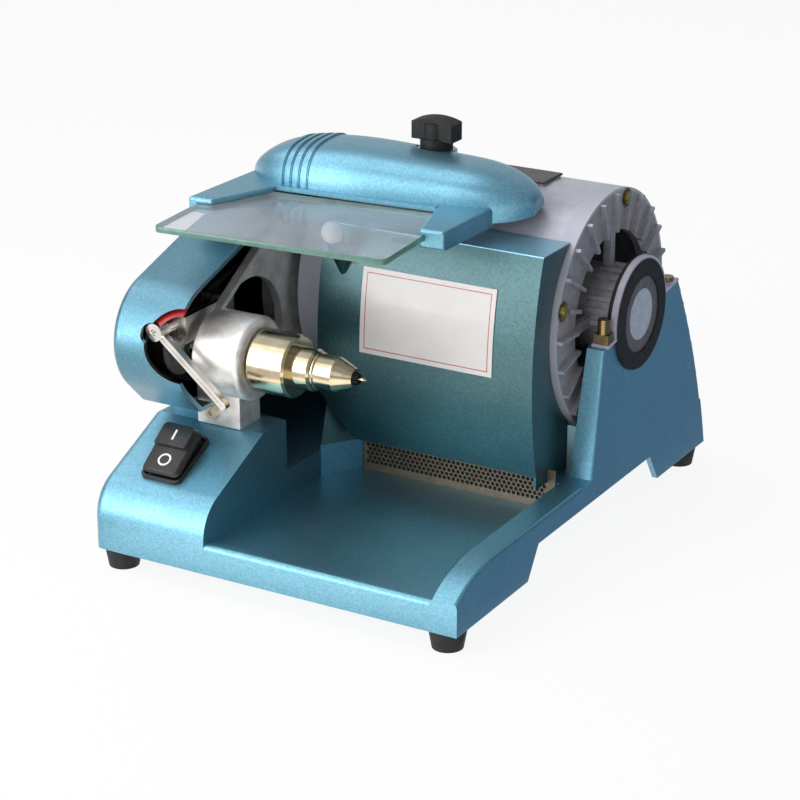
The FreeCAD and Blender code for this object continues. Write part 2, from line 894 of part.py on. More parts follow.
def motor_bearings():
    x_left = left_bell_face + bearing_lip
    x_right = right_bell_face - bell_face_thick - bearing_width * 2
    return Part.makeCompound([
        bearing_x(x_left, bearing_width, motor_y, motor_z, bearing_radius, shaft_radius),
        bearing_x(x_right, bearing_width, motor_y, motor_z, bearing_radius, shaft_radius)])


def cooling_fan():
    hub = rod_x(fan_left, fan_left + fan_width, motor_y, motor_z, fan_hub_radius)
    disc = rod_x(fan_left, fan_left + fan_disc, motor_y, motor_z, fan_radius)
    blade = box(fan_left, fan_left + fan_width, motor_y + fan_hub_radius - sunk, motor_y + fan_radius - over,
                motor_z - fan_blade_thick / 2, motor_z + fan_blade_thick / 2)
    fan = hub.multiFuse([disc] + ring_of(blade, fan_blades, motor_y, motor_z))
    return fan.cut(rod_x(fan_left - over, fan_left + fan_width + over, motor_y, motor_z, shaft_radius))


def hexagon_x(x0, x1, y, z, radius):
    points = [(y + radius * math.cos(math.radians(60 * k)), z + radius * math.sin(math.radians(60 * k)))
              for k in range(6)]
    return plate_yz(points, x0, x1)


def through_bolts():
    bolts = []
    for y, z in bolt_places():
        seat = right_bell_face - bolt_pocket_depth
        shank = rod_x(left_bell_face, seat + bolt_nut_thick + bolt_end, y, z, bolt_radius)
        nut = hexagon_x(seat, seat + bolt_nut_thick, y, z, bolt_nut_radius)
        bolts.append(shank.fuse(nut))
    return Part.makeCompound(bolts)


def rubber_ring():
    ring = tube_x(ring_left, ring_face, motor_y, motor_z, ring_radius, ring_bore)
    return rounded(ring, ring_face_round, lambda edge: near(edge.CenterOfMass.x, ring_face)
                   and isinstance(edge.Curve, Part.Circle) and near(edge.Curve.Radius, ring_radius))


def hub_cap():
    x1 = ring_face - cap_recess
    cap = rod_x(x1 - cap_thick, x1, motor_y, motor_z, ring_bore - seat_clear)
    return cap.cut(rod_x(x1 - disc_thick, x1 + over, motor_y, motor_z, disc_radius + seat_clear))


def hub_disc():
    x1 = ring_face - cap_recess
    return rod_x(x1 - disc_thick, x1, motor_y, motor_z, disc_radius)


def strap_middle():
    return strap_left + strap_width / 2


def land_z(y):
    """Height of the cheek's sloping top at y."""
    rise = (cheek_rear_z - cheek_front_z) / (cheek_rear_top - cheek_front_top)
    return cheek_front_z + rise * (y - front - cheek_front_top)


def strap_ear_ends():
    """Outer ends of the front and the rear strap ear."""
    reach = ring_radius + strap_thick
    return motor_y - reach - strap_front_ear, motor_y + reach + strap_rear_ear


def strap_ear_places():
    """Screw places on the front and the rear ear, on the cheek's top."""
    front_end, rear_end = strap_ear_ends()
    return [(y, land_z(y)) for y in (front_end + strap_hole_inset, rear_end - strap_hole_inset)]


def strap():
    x1 = strap_left + strap_width
    inner = ring_radius + seat_clear
    band = tube_x(x1 - strap_band_width, x1, motor_y, motor_z, inner + strap_thick, inner)
    y0 = motor_y - 2 * ring_radius
    y1 = motor_y + 2 * ring_radius
    below = plate_yz([(y0, land_z(y0)), (y1, land_z(y1)), (y1, 0), (y0, 0)], strap_left - over, x1 + over)
    band = band.cut(below)
    front_end, rear_end = strap_ear_ends()
    ears = []
    for ear_front, ear_rear in ((front_end, motor_y - ring_radius), (motor_y + ring_radius, rear_end)):
        front_z = land_z(ear_front)
        rear_z = land_z(ear_rear)
        ear = plate_yz([(ear_front, front_z), (ear_rear, rear_z), (ear_rear, rear_z + strap_thick),
                        (ear_front, front_z + strap_thick)], strap_left, x1)
        ears.append(ear.cut(rod_x(strap_left - over, x1 + over, motor_y, motor_z, inner)))
    holder = band.multiFuse(ears)
    for y, z in strap_ear_places():
        holder = holder.cut(rod_z(strap_middle(), y, z - strap_block_height, z + strap_block_height,
                                  strap_screw_radius))
    return solid_of(holder)


def strap_screws():
    """A tall slotted tension screw in front and a plain one behind, both seated on the sloping ears."""
    seat_line = [(front, land_z(front) + strap_thick), (rear, land_z(rear) + strap_thick)]
    below = plate_yz(seat_line + [(rear, 0), (front, 0)], strap_left - strap_width, right + over)
    screws = []
    for (y, z), tall in zip(strap_ear_places(), (True, False)):
        x = strap_middle()
        seat = z + strap_thick
        shank_top = seat + (strap_block_height if tall else strap_rear_head)
        shank = rod_z(x, y, z - strap_screw_length + strap_shank_short, shank_top, strap_screw_radius)
        if tall:
            half = strap_head_radius + strap_block_side
            block = box(x - half, x + half, y - strap_head_radius, y + strap_head_radius,
                        seat - strap_thick, seat + strap_block_height)
            barrel = rod_z(x, y, seat + strap_block_height, seat + strap_head_height, strap_head_radius)
            head = block.fuse(barrel)
        else:
            head = rod_z(x, y, seat - strap_thick, seat + strap_rear_head, strap_head_radius)
        screws.append(shank.fuse(head.cut(below)))
    return Part.makeCompound(screws)


def tangent_outline(y0, z0, r0, y1, z1, r1):
    """Corners of the quadrilateral that joins two circles along their outer tangents."""
    distance = math.hypot(y1 - y0, z1 - z0)
    heading = math.atan2(z1 - z0, y1 - y0)
    spread = math.acos((r0 - r1) / distance)
    upper = heading + spread
    lower = heading - spread
    return [(y0 + r0 * math.cos(upper), z0 + r0 * math.sin(upper)),
            (y1 + r1 * math.cos(upper), z1 + r1 * math.sin(upper)),
            (y1 + r1 * math.cos(lower), z1 + r1 * math.sin(lower)),
            (y0 + r0 * math.cos(lower), z0 + r0 * math.sin(lower))]


def belt_shape(x0, x1, y0, z0, r0, y1, z1, r1):
    """Solid of two discs joined along their tangents, as a belt would go round them."""
    joined = plate_yz(tangent_outline(y0, z0, r0, y1, z1, r1), x0, x1)
    return rod_x(x0, x1, y0, z0, r0).multiFuse([rod_x(x0, x1, y1, z1, r1), joined]).removeSplitter()


def clamp_place():
    """X and Z of the clamp screw on the front of the head's foot."""
    return head_foot_left + clamp_inset, desk_flat_z + clamp_rise


def head_web(inset, x0, x1):
    """Outline of the web from the spindle up to the motor, drawn in by inset."""
    knee_y = spindle_y + web_knee_reach
    knee_radius = web_knee_radius - inset
    motor_radius = web_motor_radius - inset
    arm = belt_shape(x0, x1, spindle_y, spindle_z, web_spindle_radius - inset, knee_y, motor_z, knee_radius)
    return arm.fuse(belt_shape(x0, x1, knee_y, motor_z, knee_radius, motor_y, motor_z, motor_radius))


def head_casting():
    flange = rod_x(flange_left, flange_right, motor_y, motor_z, flange_radius)
    window = rod_x(web_left - over, web_left + web_thick + over, spindle_y + web_window_reach,
                   spindle_z - web_window_drop, web_window_radius)
    window = window.common(head_web(web_rim, web_left - over, web_left + web_thick + over))
    web = head_web(0, web_left, web_left + web_thick).cut(window)
    housing = rod_x(housing_left, housing_right, spindle_y, spindle_z, housing_radius)
    neck = rod_x(neck_left, housing_left + over, spindle_y, spindle_z, neck_radius)
    foot = box(head_foot_left, head_foot_right, front + head_foot_setback,
               front + head_foot_setback + head_foot_depth, desk_flat_z, spindle_z - housing_radius / 2)
    head = flange.multiFuse([web, housing, neck, foot])
    head = head.cut(rod_x(flange_left - over, web_left, motor_y, motor_z, flange_radius - spigot_wall))
    head = head.cut(rod_x(flange_left - over, left_bell_face, motor_y, motor_z, spigot_radius))
    head = head.cut(rod_x(left_bell_face, frame_right, motor_y, motor_z, left_bell_radius + slide_fit))
    head = head.cut(rod_x(collar_left - collar_width, neck_left, spindle_y, spindle_z,
                          collar_radius + collar_room))
    head = head.cut(desk_keepout())
    bore = spindle_bearing_radius
    head = head.cut(rod_x(housing_left + bearing_shoulder, housing_right + over, spindle_y, spindle_z,
                          bore))
    head = head.cut(rod_x(neck_left - over, housing_left + bearing_shoulder + over, spindle_y, spindle_z,
                          spindle_radius + shaft_clear))
    x, z = clamp_place()
    screw_y = front + head_foot_setback
    head = head.cut(rod_y(x, screw_y - over, screw_y + clamp_screw_length, z, clamp_screw_radius))
    return solid_of(head)


def desk_keepout():
    """The space of the desk itself, which the head's foot stands on."""
    return plate_yz(desk_outline(0), left, desk_right)


def clamp_screw():
    x, z = clamp_place()
    y = front + head_foot_setback
    head = rod_y(x, y - clamp_head_height, y, z, clamp_head_radius)
    socket = rod_y(x, y - clamp_head_height - over, y - clamp_head_height + clamp_socket_depth, z,
                   clamp_socket_radius)
    return head.cut(socket).fuse(rod_y(x, y, y + clamp_screw_length, z, clamp_screw_radius))


def spindle_bearings():
    x_rear = housing_left + bearing_shoulder
    x_front = housing_right - spindle_bearing_width
    return Part.makeCompound([
        bearing_x(x, spindle_bearing_width, spindle_y, spindle_z, spindle_bearing_radius, spindle_radius)
        for x in (x_rear, x_front)])


def housing_cap():
    ring = tube_x(housing_right, housing_right + cap_ring_thick, spindle_y, spindle_z, cap_ring_radius,
                  cap_ring_bore)
    return rounded(ring, cap_ring_round, lambda edge: near(edge.CenterOfMass.x,
                                                           housing_right + cap_ring_thick)
                   and isinstance(edge.Curve, Part.Circle) and near(edge.Curve.Radius, cap_ring_radius))


def pin_slot_length():
    return drawbar_travel + 2 * collar_pin_radius + 2 * slide_fit


def spindle_shaft():
    shaft = rod_x(spindle_left, nose_step, spindle_y, spindle_z, spindle_radius)
    shaft = shaft.cut(rod_x(spindle_left - over, nose_step + over, spindle_y, spindle_z, spindle_bore))
    middle = collar_left + collar_width / 2
    slot_half = collar_pin_radius + slide_fit
    slot = box(middle - slot_half, middle - slot_half + pin_slot_length(),
               spindle_y - spindle_radius - over,
               spindle_y + spindle_radius + over, spindle_z - slot_half, spindle_z + slot_half)
    return shaft.cut(slot)


def spindle_nose():
    big = rod_x(nose_left, nose_step, spindle_y, spindle_z, nose_radius)
    big = big.makeChamfer(nose_chamfer, [edge for edge in big.Edges if isinstance(edge.Curve, Part.Circle)])
    small = rod_x(nose_step - sunk, nose_right, spindle_y, spindle_z, nose_step_radius)
    small = small.makeChamfer(nose_chamfer, [edge for edge in small.Edges if isinstance(edge.Curve,
                                                                                        Part.Circle)])
    nose = big.fuse(small)
    nose = nose.cut(rod_x(nose_left - over, nose_step, spindle_y, spindle_z, spindle_radius))
    return nose.cut(rod_x(nose_left, nose_right + over, spindle_y, spindle_z, collet_radius + slide_fit))


def cone_nut():
    flange = rod_x(nose_right, cone_flange_right, spindle_y, spindle_z, cone_flange_radius)
    flange = flange.makeChamfer(cone_chamfer, [edge for edge in flange.Edges if isinstance(edge.Curve,
                                                                                           Part.Circle)])
    straight_right = cone_flange_right + cone_straight
    straight = rod_x(cone_flange_right - over, straight_right, spindle_y, spindle_z, cone_radius)
    cone = cone_x(straight_right, cone_right, spindle_y, spindle_z, cone_radius, cone_end_radius)
    nut = flange.multiFuse([straight, cone])
    return nut.cut(rod_x(nose_right - over, cone_right + over, spindle_y, spindle_z,
                         collet_radius + slide_fit))


def collet():
    body = rod_x(collet_left, cone_right, spindle_y, spindle_z, collet_radius)
    tip = cone_x(cone_right, collet_right, spindle_y, spindle_z, collet_radius, collet_tip_radius)
    sleeve = body.fuse(tip)
    slit = box(needle_left, collet_right + over, spindle_y - collet_radius - over,
               spindle_y + collet_radius + over,
               spindle_z - collet_slit / 2, spindle_z + collet_slit / 2)
    sleeve = sleeve.cut(slit).cut(turned(slit, 90, V(0, spindle_y, spindle_z), X_DIR))
    return sleeve.cut(rod_x(needle_left, collet_right + over, spindle_y, spindle_z, needle_radius))


def needle():
    tip_left = needle_right - needle_tip_length
    shank = rod_x(needle_left, tip_left, spindle_y, spindle_z, needle_radius)
    return shank.fuse(cone_x(tip_left, needle_right, spindle_y, spindle_z, needle_radius,
                             needle_tip_radius))


def drawbar():
    bar = rod_x(drawbar_left, collet_left, spindle_y, spindle_z, drawbar_radius)
    middle = collar_left + collar_width / 2
    return bar.cut(rod_y(middle, spindle_y - spindle_radius, spindle_y + spindle_radius, spindle_z,
                         collar_pin_radius))


def release_collar():
    collar = tube_x(collar_left, collar_left + collar_width, spindle_y, spindle_z, collar_radius,
                    spindle_radius + slide_fit)
    middle = collar_left + collar_width / 2
    return collar.cut(rod_y(middle, spindle_y - collar_radius - over, spindle_y + collar_radius + over,
                            spindle_z,
                            collar_pin_radius))


def collar_pin():
    middle = collar_left + collar_width / 2
    return rod_y(middle, spindle_y - collar_radius + collar_pin_inset,
                 spindle_y + collar_radius - collar_pin_inset, spindle_z, collar_pin_radius)


def disc_springs():
    start = collet_left - spring_gap - spring_count * spring_pitch
    discs = []
    for index in range(spring_count):
        x0 = start + index * spring_pitch
        discs.append(tube_x(x0, x0 + spring_pitch, spindle_y, spindle_z, spring_radius,
                            drawbar_radius + slide_fit))
    return Part.makeCompound(discs)


def grooved_pulley(y, z, radius, bore):
    rims = [rod_x(x0, x0 + rim_width, y, z, radius + pulley_rim)
            for x0 in (pulley_left, pulley_right - rim_width)]
    drum = rod_x(pulley_left, pulley_right, y, z, radius)
    return drum.multiFuse(rims).cut(rod_x(pulley_left - over, pulley_right + over, y, z, bore))


def drive_belt():
    x0 = pulley_left + (pulley_width - belt_width) / 2
    inner0 = spindle_pulley_radius + belt_clear
    inner1 = motor_pulley_radius + belt_clear
    outer = belt_shape(x0, x0 + belt_width, spindle_y, spindle_z, inner0 + belt_thick,
                       motor_y, motor_z, inner1 + belt_thick)
    inner = belt_shape(x0 - over, x0 + belt_width + over, spindle_y, spindle_z, inner0, motor_y,
                       motor_z, inner1)
    return outer.cut(inner)


def lug_places():
    """Y ranges of the two lugs that carry the cross shaft, one each side of the spindle."""
    half = bracket_lug_gap / 2
    return [(spindle_y - half - bracket_lug_thick, spindle_y - half),
            (spindle_y + half, spindle_y + half + bracket_lug_thick)]


def lever_bracket():
    y0 = lug_places()[0][0]
    y1 = lug_places()[1][1]
    low = lever_axis_z - cross_shaft_radius - bracket_edge
    high = lever_axis_z + cross_shaft_radius + bracket_edge
    plate = box(web_left - bracket_plate, web_left, y0, y1, low - bracket_edge, high)
    lugs = [box(lever_axis_x - cross_shaft_radius - bracket_edge, web_left, a, b, low, high)
            for a, b in lug_places()]
    bracket = plate.multiFuse(lugs)
    bracket = bracket.cut(rod_x(web_left - bracket_plate - over, web_left + over, spindle_y, spindle_z,
                                neck_radius + slide_fit))
    return bracket.cut(rod_y(lever_axis_x, y0 - over, y1 + over, lever_axis_z,
                             cross_shaft_radius + run_fit))


def release_lever():
    y0 = front + lever_front
    y1 = y0 + lever_hub_width
    hub = rod_y(lever_axis_x, y0, y1, lever_axis_z, lever_hub_radius)
    middle = (y0 + y1) / 2
    half = lever_bar_width / 2
    bar = box(lever_axis_x, lever_axis_x + lever_length, middle - lever_bar_thick / 2,
              middle + lever_bar_thick / 2,
              lever_axis_z - half, lever_axis_z + half)
    tip = rod_y(lever_axis_x + lever_length, middle - lever_bar_thick / 2, middle + lever_bar_thick / 2,
                lever_axis_z, half)
    groove = box(lever_axis_x + lever_hub_radius, lever_axis_x + lever_length, middle - lever_bar_thick,
                 middle - lever_bar_thick / 2 + lever_groove, lever_axis_z - lever_groove / 2,
                 lever_axis_z + lever_groove / 2)
    bar = turned(bar.fuse(tip).cut(groove), lever_drop, V(lever_axis_x, 0, lever_axis_z), Y_DIR)
    lever = hub.fuse(bar)
    lever = lever.cut(rod_y(lever_axis_x, y0 - over, y0 + lever_hub_width / 3, lever_axis_z,
                            lever_socket_radius))
    return lever.cut(rod_y(lever_axis_x, y0 + lever_hub_width / 2, y1 + over, lever_axis_z,
                           cross_shaft_radius))


def cross_shaft():
    y0 = front + lever_front + lever_hub_width / 2
    y1 = lug_places()[1][1] + cross_shaft_end
    shaft = rod_y(lever_axis_x, y0, y1, lever_axis_z, cross_shaft_radius)
    finger = box(lever_axis_x - finger_thick / 2, lever_axis_x + finger_thick / 2,
                 spindle_y - finger_width / 2,
                 spindle_y + finger_width / 2, lever_axis_z - finger_reach, lever_axis_z)
    return shaft.fuse(finger)


def belt_guard_shape(inset, x0, x1):
    """Side view of the guard, drawn in by inset: a round nose, a rising top, a chin clear of the desk."""
    front_y = front + belt_guard_front_setback
    knee_y = front + belt_guard_knee_setback
    front_radius = belt_guard_front_radius - inset
    knee_radius = belt_guard_knee_radius - inset
    rear_radius = belt_guard_rear_radius - inset
    nose_z = belt_guard_front_z
    nose = belt_shape(x0, x1, front_y, nose_z, front_radius, knee_y, nose_z, knee_radius)
    back = belt_shape(x0, x1, knee_y, nose_z, knee_radius, motor_y, motor_z, rear_radius)
    chin = math.radians(belt_guard_chin)
    chin_y = front_y + front_radius * math.cos(chin)
    chin_z = nose_z + front_radius * math.sin(chin)
    lip_z = belt_guard_lip_z + inset
    lip_y = chin_y + (chin_z - lip_z) * math.tan(chin - math.pi)
    heel_y = front + belt_guard_heel_setback + inset
    step_y = front + desk_depth + inset
    rear_edge = motor_y + rear_radius
    skirt = plate_yz([(chin_y, chin_z), (lip_y, lip_z), (heel_y, lip_z), (heel_y, desk_flat_z),
                      (step_y, desk_flat_z), (step_y, deck_z), (rear_edge, deck_z), (rear_edge, motor_z),
                      (front_y, nose_z)], x0, x1)
    below_chin = box(x0 - over, x1 + over, front - over, heel_y, 0, lip_z)
    return nose.multiFuse([back, skirt]).cut(below_chin).removeSplitter()


def belt_guard_screw_places():
    mid_y = (spindle_y + motor_y) / 2
    return [(front + belt_guard_front_setback, belt_guard_front_z + guard_screw_front_rise),
            (motor_y, motor_z + guard_screw_rear_rise),
            (motor_y + guard_screw_rear_reach, deck_z + guard_screw_low_rise), (mid_y,
                                                                                deck_z
                                                                                + guard_screw_low_rise)]


def lever_notch(radius):
    """Opening in the front of the guard and its liner for the lever, with room for the lever's hub."""
    depth = front + belt_guard_front_setback - spindle_radius
    notch = rod_y(left + belt_guard_width, front, depth, lever_notch_z, radius)
    return notch.fuse(rod_y(lever_axis_x, front, depth, lever_axis_z, lever_hub_radius + lever_scallop))


def belt_guard():
    inner_x = left + guard_wall
    x1 = left + belt_guard_width
    outer = belt_guard_shape(0, left, x1)
    outer = rounded(outer, guard_round, lambda edge: near(edge.CenterOfMass.x, left)
                    and edge.CenterOfMass.z > desk_flat_z + guard_round_above)
    guard = outer.cut(belt_guard_shape(guard_wall, inner_x, x1 + over))
    guard = guard.cut(lever_notch(lever_notch_radius))
    foot_front = front + head_foot_setback - clamp_head_height - foot_room
    foot_rear = front + head_foot_setback + head_foot_depth + foot_room
    guard = guard.cut(box(head_foot_left - foot_room, x1 + over, foot_front, foot_rear, 0, spindle_z))
    floor = box(left - over, x1 + over, front, front + desk_depth, 0, desk_flat_z)
    guard = guard.cut(floor).cut(box(left - over, x1 + over, front, rear, 0, deck_z))
    open_floor = box(inner_x, x1 + over, front + desk_depth + guard_wall * 2,
                     motor_y + belt_guard_rear_radius - guard_wall,
                     deck_z - over, deck_z + guard_wall + over)
    guard = guard.cut(open_floor)
    bosses = [rod_x(inner_x - over, inner_x + guard_boss_height, y, z, guard_boss_radius) for y,
              z in belt_guard_screw_places()]
    guard = guard.multiFuse(bosses)
    for y, z in belt_guard_screw_places():
        guard = guard.cut(rod_x(left - over, inner_x + over, y, z, guard_screw_radius))
    return solid_of(guard)


def belt_guard_liner():
    """Red sheet that lines the inside of the guard's top and front."""
    inner_x = left + guard_wall
    x1 = inner_x + liner_width
    outer = belt_guard_shape(guard_wall, inner_x, x1)
    liner = outer.cut(belt_guard_shape(guard_wall + liner_thick, inner_x - over, x1 + over))
    below = box(left, x1 + over, front, rear, 0, liner_low_z)
    behind = box(left, x1 + over, front + liner_rear_setback, rear, 0, motor_z + belt_guard_rear_radius)
    return solid_of(liner.cut(lever_notch(lever_notch_radius - liner_inset)).cut(below).cut(behind))


def belt_guard_screws():
    reach = ring_face - right
    screws = []
    for y, z in belt_guard_screw_places():
        head = rod_x(left - reach, left, y, z, guard_screw_head)
        shank = rod_x(left, left + guard_wall, y, z, guard_screw_radius)
        screws.append(head.fuse(shank))
    return Part.makeCompound(screws)


def guard_face(inset):
    """Front curve of the motor guard as an arc in the YZ plane, moved back by inset."""
    low = V(0, front + guard_low_setback + inset, guard_low_z)
    middle = V(0, front + guard_mid_setback + inset, guard_mid_z)
    top = V(0, front + guard_top_setback + inset, guard_top_z - inset)
    return low, middle, top


def guard_block(inset, x0, x1, back, low_extra):
    low, middle, top = guard_face(inset)
    shift = V(x0, 0, 0)
    low_end = low - V(0, 0, low_extra)
    back_top = V(0, back, guard_top_z - inset)
    back_low = V(0, back, guard_low_z - low_extra)
    corners = [top, back_top, back_low, low_end, low] if low_extra else [top, back_top, back_low, low]
    edges = [Part.Arc(low + shift, middle + shift, top + shift).toShape()]
    edges += [Part.makeLine(a + shift, b + shift) for a, b in zip(corners, corners[1:])]
    return Part.Face(Part.Wire(edges)).extrude(V(x1 - x0, 0, 0))


def guard_corner():
    """The guard's lower left corner, cut off where the gusset fits."""
    low = guard_low_z - over
    return plate_xz([(guard_left - over, low), (guard_left + guard_corner_width, low),
                     (guard_left - over, gusset_z)], front, front + guard_back_setback)


def guard_side(clearance):
    """Lower part of the guard's right wall, which stands on the deck beside the strip."""
    return box(guard_right - guard_sheet - clearance, guard_right + clearance, front + guard_low_setback,
               front + guard_back_setback, deck_z - clearance, guard_low_z + over)


def motor_guard():
    back = front + guard_back_setback
    outer = guard_block(0, guard_left, guard_right, back, 0)
    inner = guard_block(guard_sheet, guard_left - over, guard_right - guard_sheet, back + over, over)
    guard = outer.cut(inner)
    guard = guard.cut(rod_x(guard_left - over, guard_right + over, motor_y, motor_z,
                            bell_radius + guard_motor_gap))
    guard = guard.cut(guard_corner())
    rest_left = guard_left + guard_corner_width
    flange = guard_block(0, rest_left, guard_right, front + guard_rest_rear, 0)
    flange = flange.common(box(rest_left, guard_right, front, rear, guard_low_z, guard_low_z + guard_sheet))
    rest = box(rest_left, guard_right, front + guard_rest_front, front + guard_rest_rear, deck_z,
               guard_low_z + over)
    return solid_of(guard.multiFuse([flange, rest, guard_side(0)]))


def guard_gusset():
    """Sloped filler between the tray's angled corner and the guard's cut corner."""
    low = corner_top_z
    a = V(desk_right, front + deck_setback - corner_length, low)
    b = V(desk_right + corner_width, front + deck_setback, low)
    c = V(desk_right, front + deck_setback, low)
    d = V(desk_right, front + guard_low_setback + guard_sheet, gusset_z - guard_sheet)
    faces = [Part.Face(Part.makePolygon(loop + loop[:1])) for loop in ([a, b, c], [a, b, d], [b, c, d],
                                                                       [c, a, d])]
    gusset = Part.Solid(Part.Shell(faces))
    if gusset.Volume < 0:
        gusset.reverse()
    cover = guard_block(0, guard_left - over, guard_right, front + guard_back_setback, 0)
    return gusset.cut(cover.cut(guard_corner()))


def blank_plate():
    back = front + guard_back_setback
    outer = guard_block(-plate_bond - plate_thick, plate_left, plate_right, back, 0)
    inner = guard_block(-plate_bond, plate_left - over, plate_right + over, back + over, 0)
    window = box(plate_left, plate_right, front, back, plate_low_z, plate_top_z)
    return outer.cut(inner).common(window)


def guard_surface_y(z):
    """Y of the motor guard's front face at height z."""
    low, middle, top = guard_face(0)
    centre = Part.Arc(low, middle, top).toShape().Curve.Center
    radius = (low - centre).Length
    side = math.copysign(1, centre.y - middle.y)
    return centre.y - side * math.sqrt(radius ** 2 - (z - centre.z) ** 2)


def lamp_line(distance):
    """Point on the lamp's axis, a distance from where it leaves the guard."""
    lean = math.radians(lamp_lean)
    base_y = guard_surface_y(lamp_base_z)
    return V(lamp_x, base_y - distance * math.sin(lean), lamp_base_z + distance * math.cos(lean))


def lamp_axis():
    return (lamp_line(1) - lamp_line(0)).normalize()


def lamp_holder():
    start = lamp_line(-lamp_base_sink)
    holder = Part.makeCone(lamp_holder_low_radius, lamp_holder_top_radius,
                           lamp_holder_length + lamp_base_sink,
                           start, lamp_axis())
    behind = guard_block(0, guard_left, guard_right, front + guard_back_setback, 0)
    return holder.cut(behind)


def lamp_globe():
    centre = lamp_line(lamp_holder_length + lamp_radius * lamp_overlap)
    globe = Part.makeSphere(lamp_radius, centre)
    stub = Part.makeCylinder(lamp_holder_top_radius * lamp_neck, lamp_radius,
                             lamp_line(lamp_holder_length), lamp_axis())
    cut_back = Part.makeCylinder(lamp_radius * 2, lamp_radius * 2, lamp_line(lamp_holder_length),
                                 lamp_axis() * -1)
    return globe.fuse(stub).cut(cut_back)


def hood_low_z(setback):
    share = (setback - hood_front_setback) / (hood_rear_setback - hood_front_setback)
    return hood_low_front_z + share * (hood_low_rear_z - hood_low_front_z)


def hood_section(x, share, inset):
    """Closed dome-shaped wire across the hood at x, at a share of its full depth and height."""
    middle = front + (hood_front_setback + hood_rear_setback) / 2
    half = (hood_rear_setback - hood_front_setback) / 2 * share - inset
    rise = (hood_crest_z - hood_spring_z) * share - inset
    power = 2 / hood_fullness
    points = []
    for step in range(hood_steps + 1):
        angle = math.pi * step / hood_steps
        reach = math.copysign(abs(math.cos(angle)) ** power, math.cos(angle))
        points.append(V(x, middle - half * reach, hood_spring_z + rise * abs(math.sin(angle)) ** power))
    curve = Part.BSplineCurve()
    curve.interpolate(points)
    start = V(x, middle - half, right_arm_low_z)
    end = V(x, middle + half, right_arm_low_z)
    edges = [Part.makeLine(start, points[0]), curve.toShape(), Part.makeLine(points[-1], end),
             Part.makeLine(end, start)]
    return Part.Wire(edges)


def hood_share(along, power):
    """How much of the full section the hood has at a share of the way in from its end."""
    return (1 - (1 - along) ** power) ** (1 / power)


def hood_dome(inset):
    """Loaf-shaped solid, rounded over a short end on the left and a longer one on the right."""
    stations = [(hood_left + hood_left_end * along, hood_share(along, hood_left_power))
                for along in hood_stations]
    stations += [(hood_right - hood_right_end * along, hood_share(along, hood_right_power))
                 for along in reversed(hood_stations)]
    middle = (hood_left + hood_right) / 2
    length = hood_right - hood_left
    shrink = (length - 2 * inset) / length
    sections = [hood_section(middle + (x - middle) * shrink, share, inset * share) for x, share in stations]
    return Part.makeLoft(sections, True)


def hood_ribs():
    """Four low ridges across the left of the dome, each a narrow step on a wider one."""
    ribs = []
    for width, rise in zip(hood_rib_widths, hood_rib_rises):
        raised = hood_dome(-rise)
        for index in range(hood_rib_count):
            x = hood_rib_first + hood_rib_pitch * index
            slab = box(x - width / 2, x + width / 2, front, rear, arm_top_z, knob_top_z)
            ribs.append(raised.common(slab))
    return ribs


def hood_arm(outline, low_z):
    """Flat arm on an outline of (x, setback) places, its front and top edges rounded."""
    arm = plate_xy([(x, front + setback) for x, setback in outline], low_z, arm_top_z)
    y0 = front + arm_front_setback
    open_end = front + ledge_front_setback
    return rounded(arm, arm_round, lambda edge: near(edge.CenterOfMass.y, y0)
                   or (near(edge.CenterOfMass.z, arm_top_z) and edge.CenterOfMass.y < open_end))


def hood_arms():
    left_arm = hood_arm([(left_arm_outer, arm_front_setback), (left_arm_inner, arm_front_setback),
                         (left_arm_bend_x, left_arm_bend_setback), (left_arm_root, ledge_front_setback),
                         (left_arm_root, left_arm_rear_setback), (left_arm_heel, left_arm_rear_setback)],
                        left_arm_low_z)
    rise = [(front + left_arm_rise_setback, left_arm_low_z),
            (front + left_arm_rear_setback + over, left_arm_low_z + left_arm_rise),
            (front + left_arm_rear_setback + over, 0), (front + left_arm_rise_setback, 0)]
    left_arm = left_arm.cut(plate_yz(rise, left_arm_outer - over, left_arm_root + over))
    right_arm = hood_arm([(right_arm_inner, arm_front_setback), (right_arm_outer, arm_front_setback),
                          (right_arm_root_outer, right_arm_rear_setback),
                          (right_arm_root_inner, right_arm_rear_setback),
                          (right_arm_root_inner, ledge_front_setback)], right_arm_low_z)
    return [left_arm, right_arm]


def hood():
    below = plate_yz([(front, hood_low_z(0)), (rear, hood_low_z(base_depth)), (rear, 0), (front, 0)],
                     hood_left - over, hood_right + over)
    inner = hood_dome(hood_wall)
    glass_top_z = glass_low_z + glass_thick + glass_clear
    mouth = box(left_arm_root, right_arm_root_inner, front + arm_front_setback, front + hood_rear_setback,
                right_arm_low_z - over, glass_top_z)
    shell = hood_dome(0).multiFuse(hood_ribs()).cut(below).cut(inner).cut(mouth)
    boss = rod_z(0, knob_y, hood_boss_low_z, hood_boss_top_z, hood_boss_radius)
    ledge = box(left_arm_root, right_arm_root_inner, front + ledge_front_setback,
                front + hood_front_setback + hood_wall, glass_top_z, arm_top_z)
    arms = [arm.cut(inner) for arm in hood_arms()]
    shell = shell.multiFuse([boss, ledge] + arms)
    flat = rod_z(0, knob_y, hood_boss_top_z, knob_top_z, hood_boss_radius)
    shell = shell.cut(flat)
    slot = box(glass_left - glass_clear, glass_right + glass_clear, front + arm_front_setback - over,
               front + glass_rear_setback + glass_slot_end, glass_low_z - glass_clear, glass_top_z)
    shell = shell.cut(slot).cut(rod_z(0, knob_y, hood_boss_low_z - over, hood_boss_top_z + over,
                                      stud_radius + slide_fit))
    return with_hood_turn(solid_of(shell))


def with_hood_turn(shape):
    """Swings a piece of the hood about the clamp stud to where the hood stands at rest."""
    return turned(shape, hood_turn, V(0, knob_y, 0), Z_DIR)


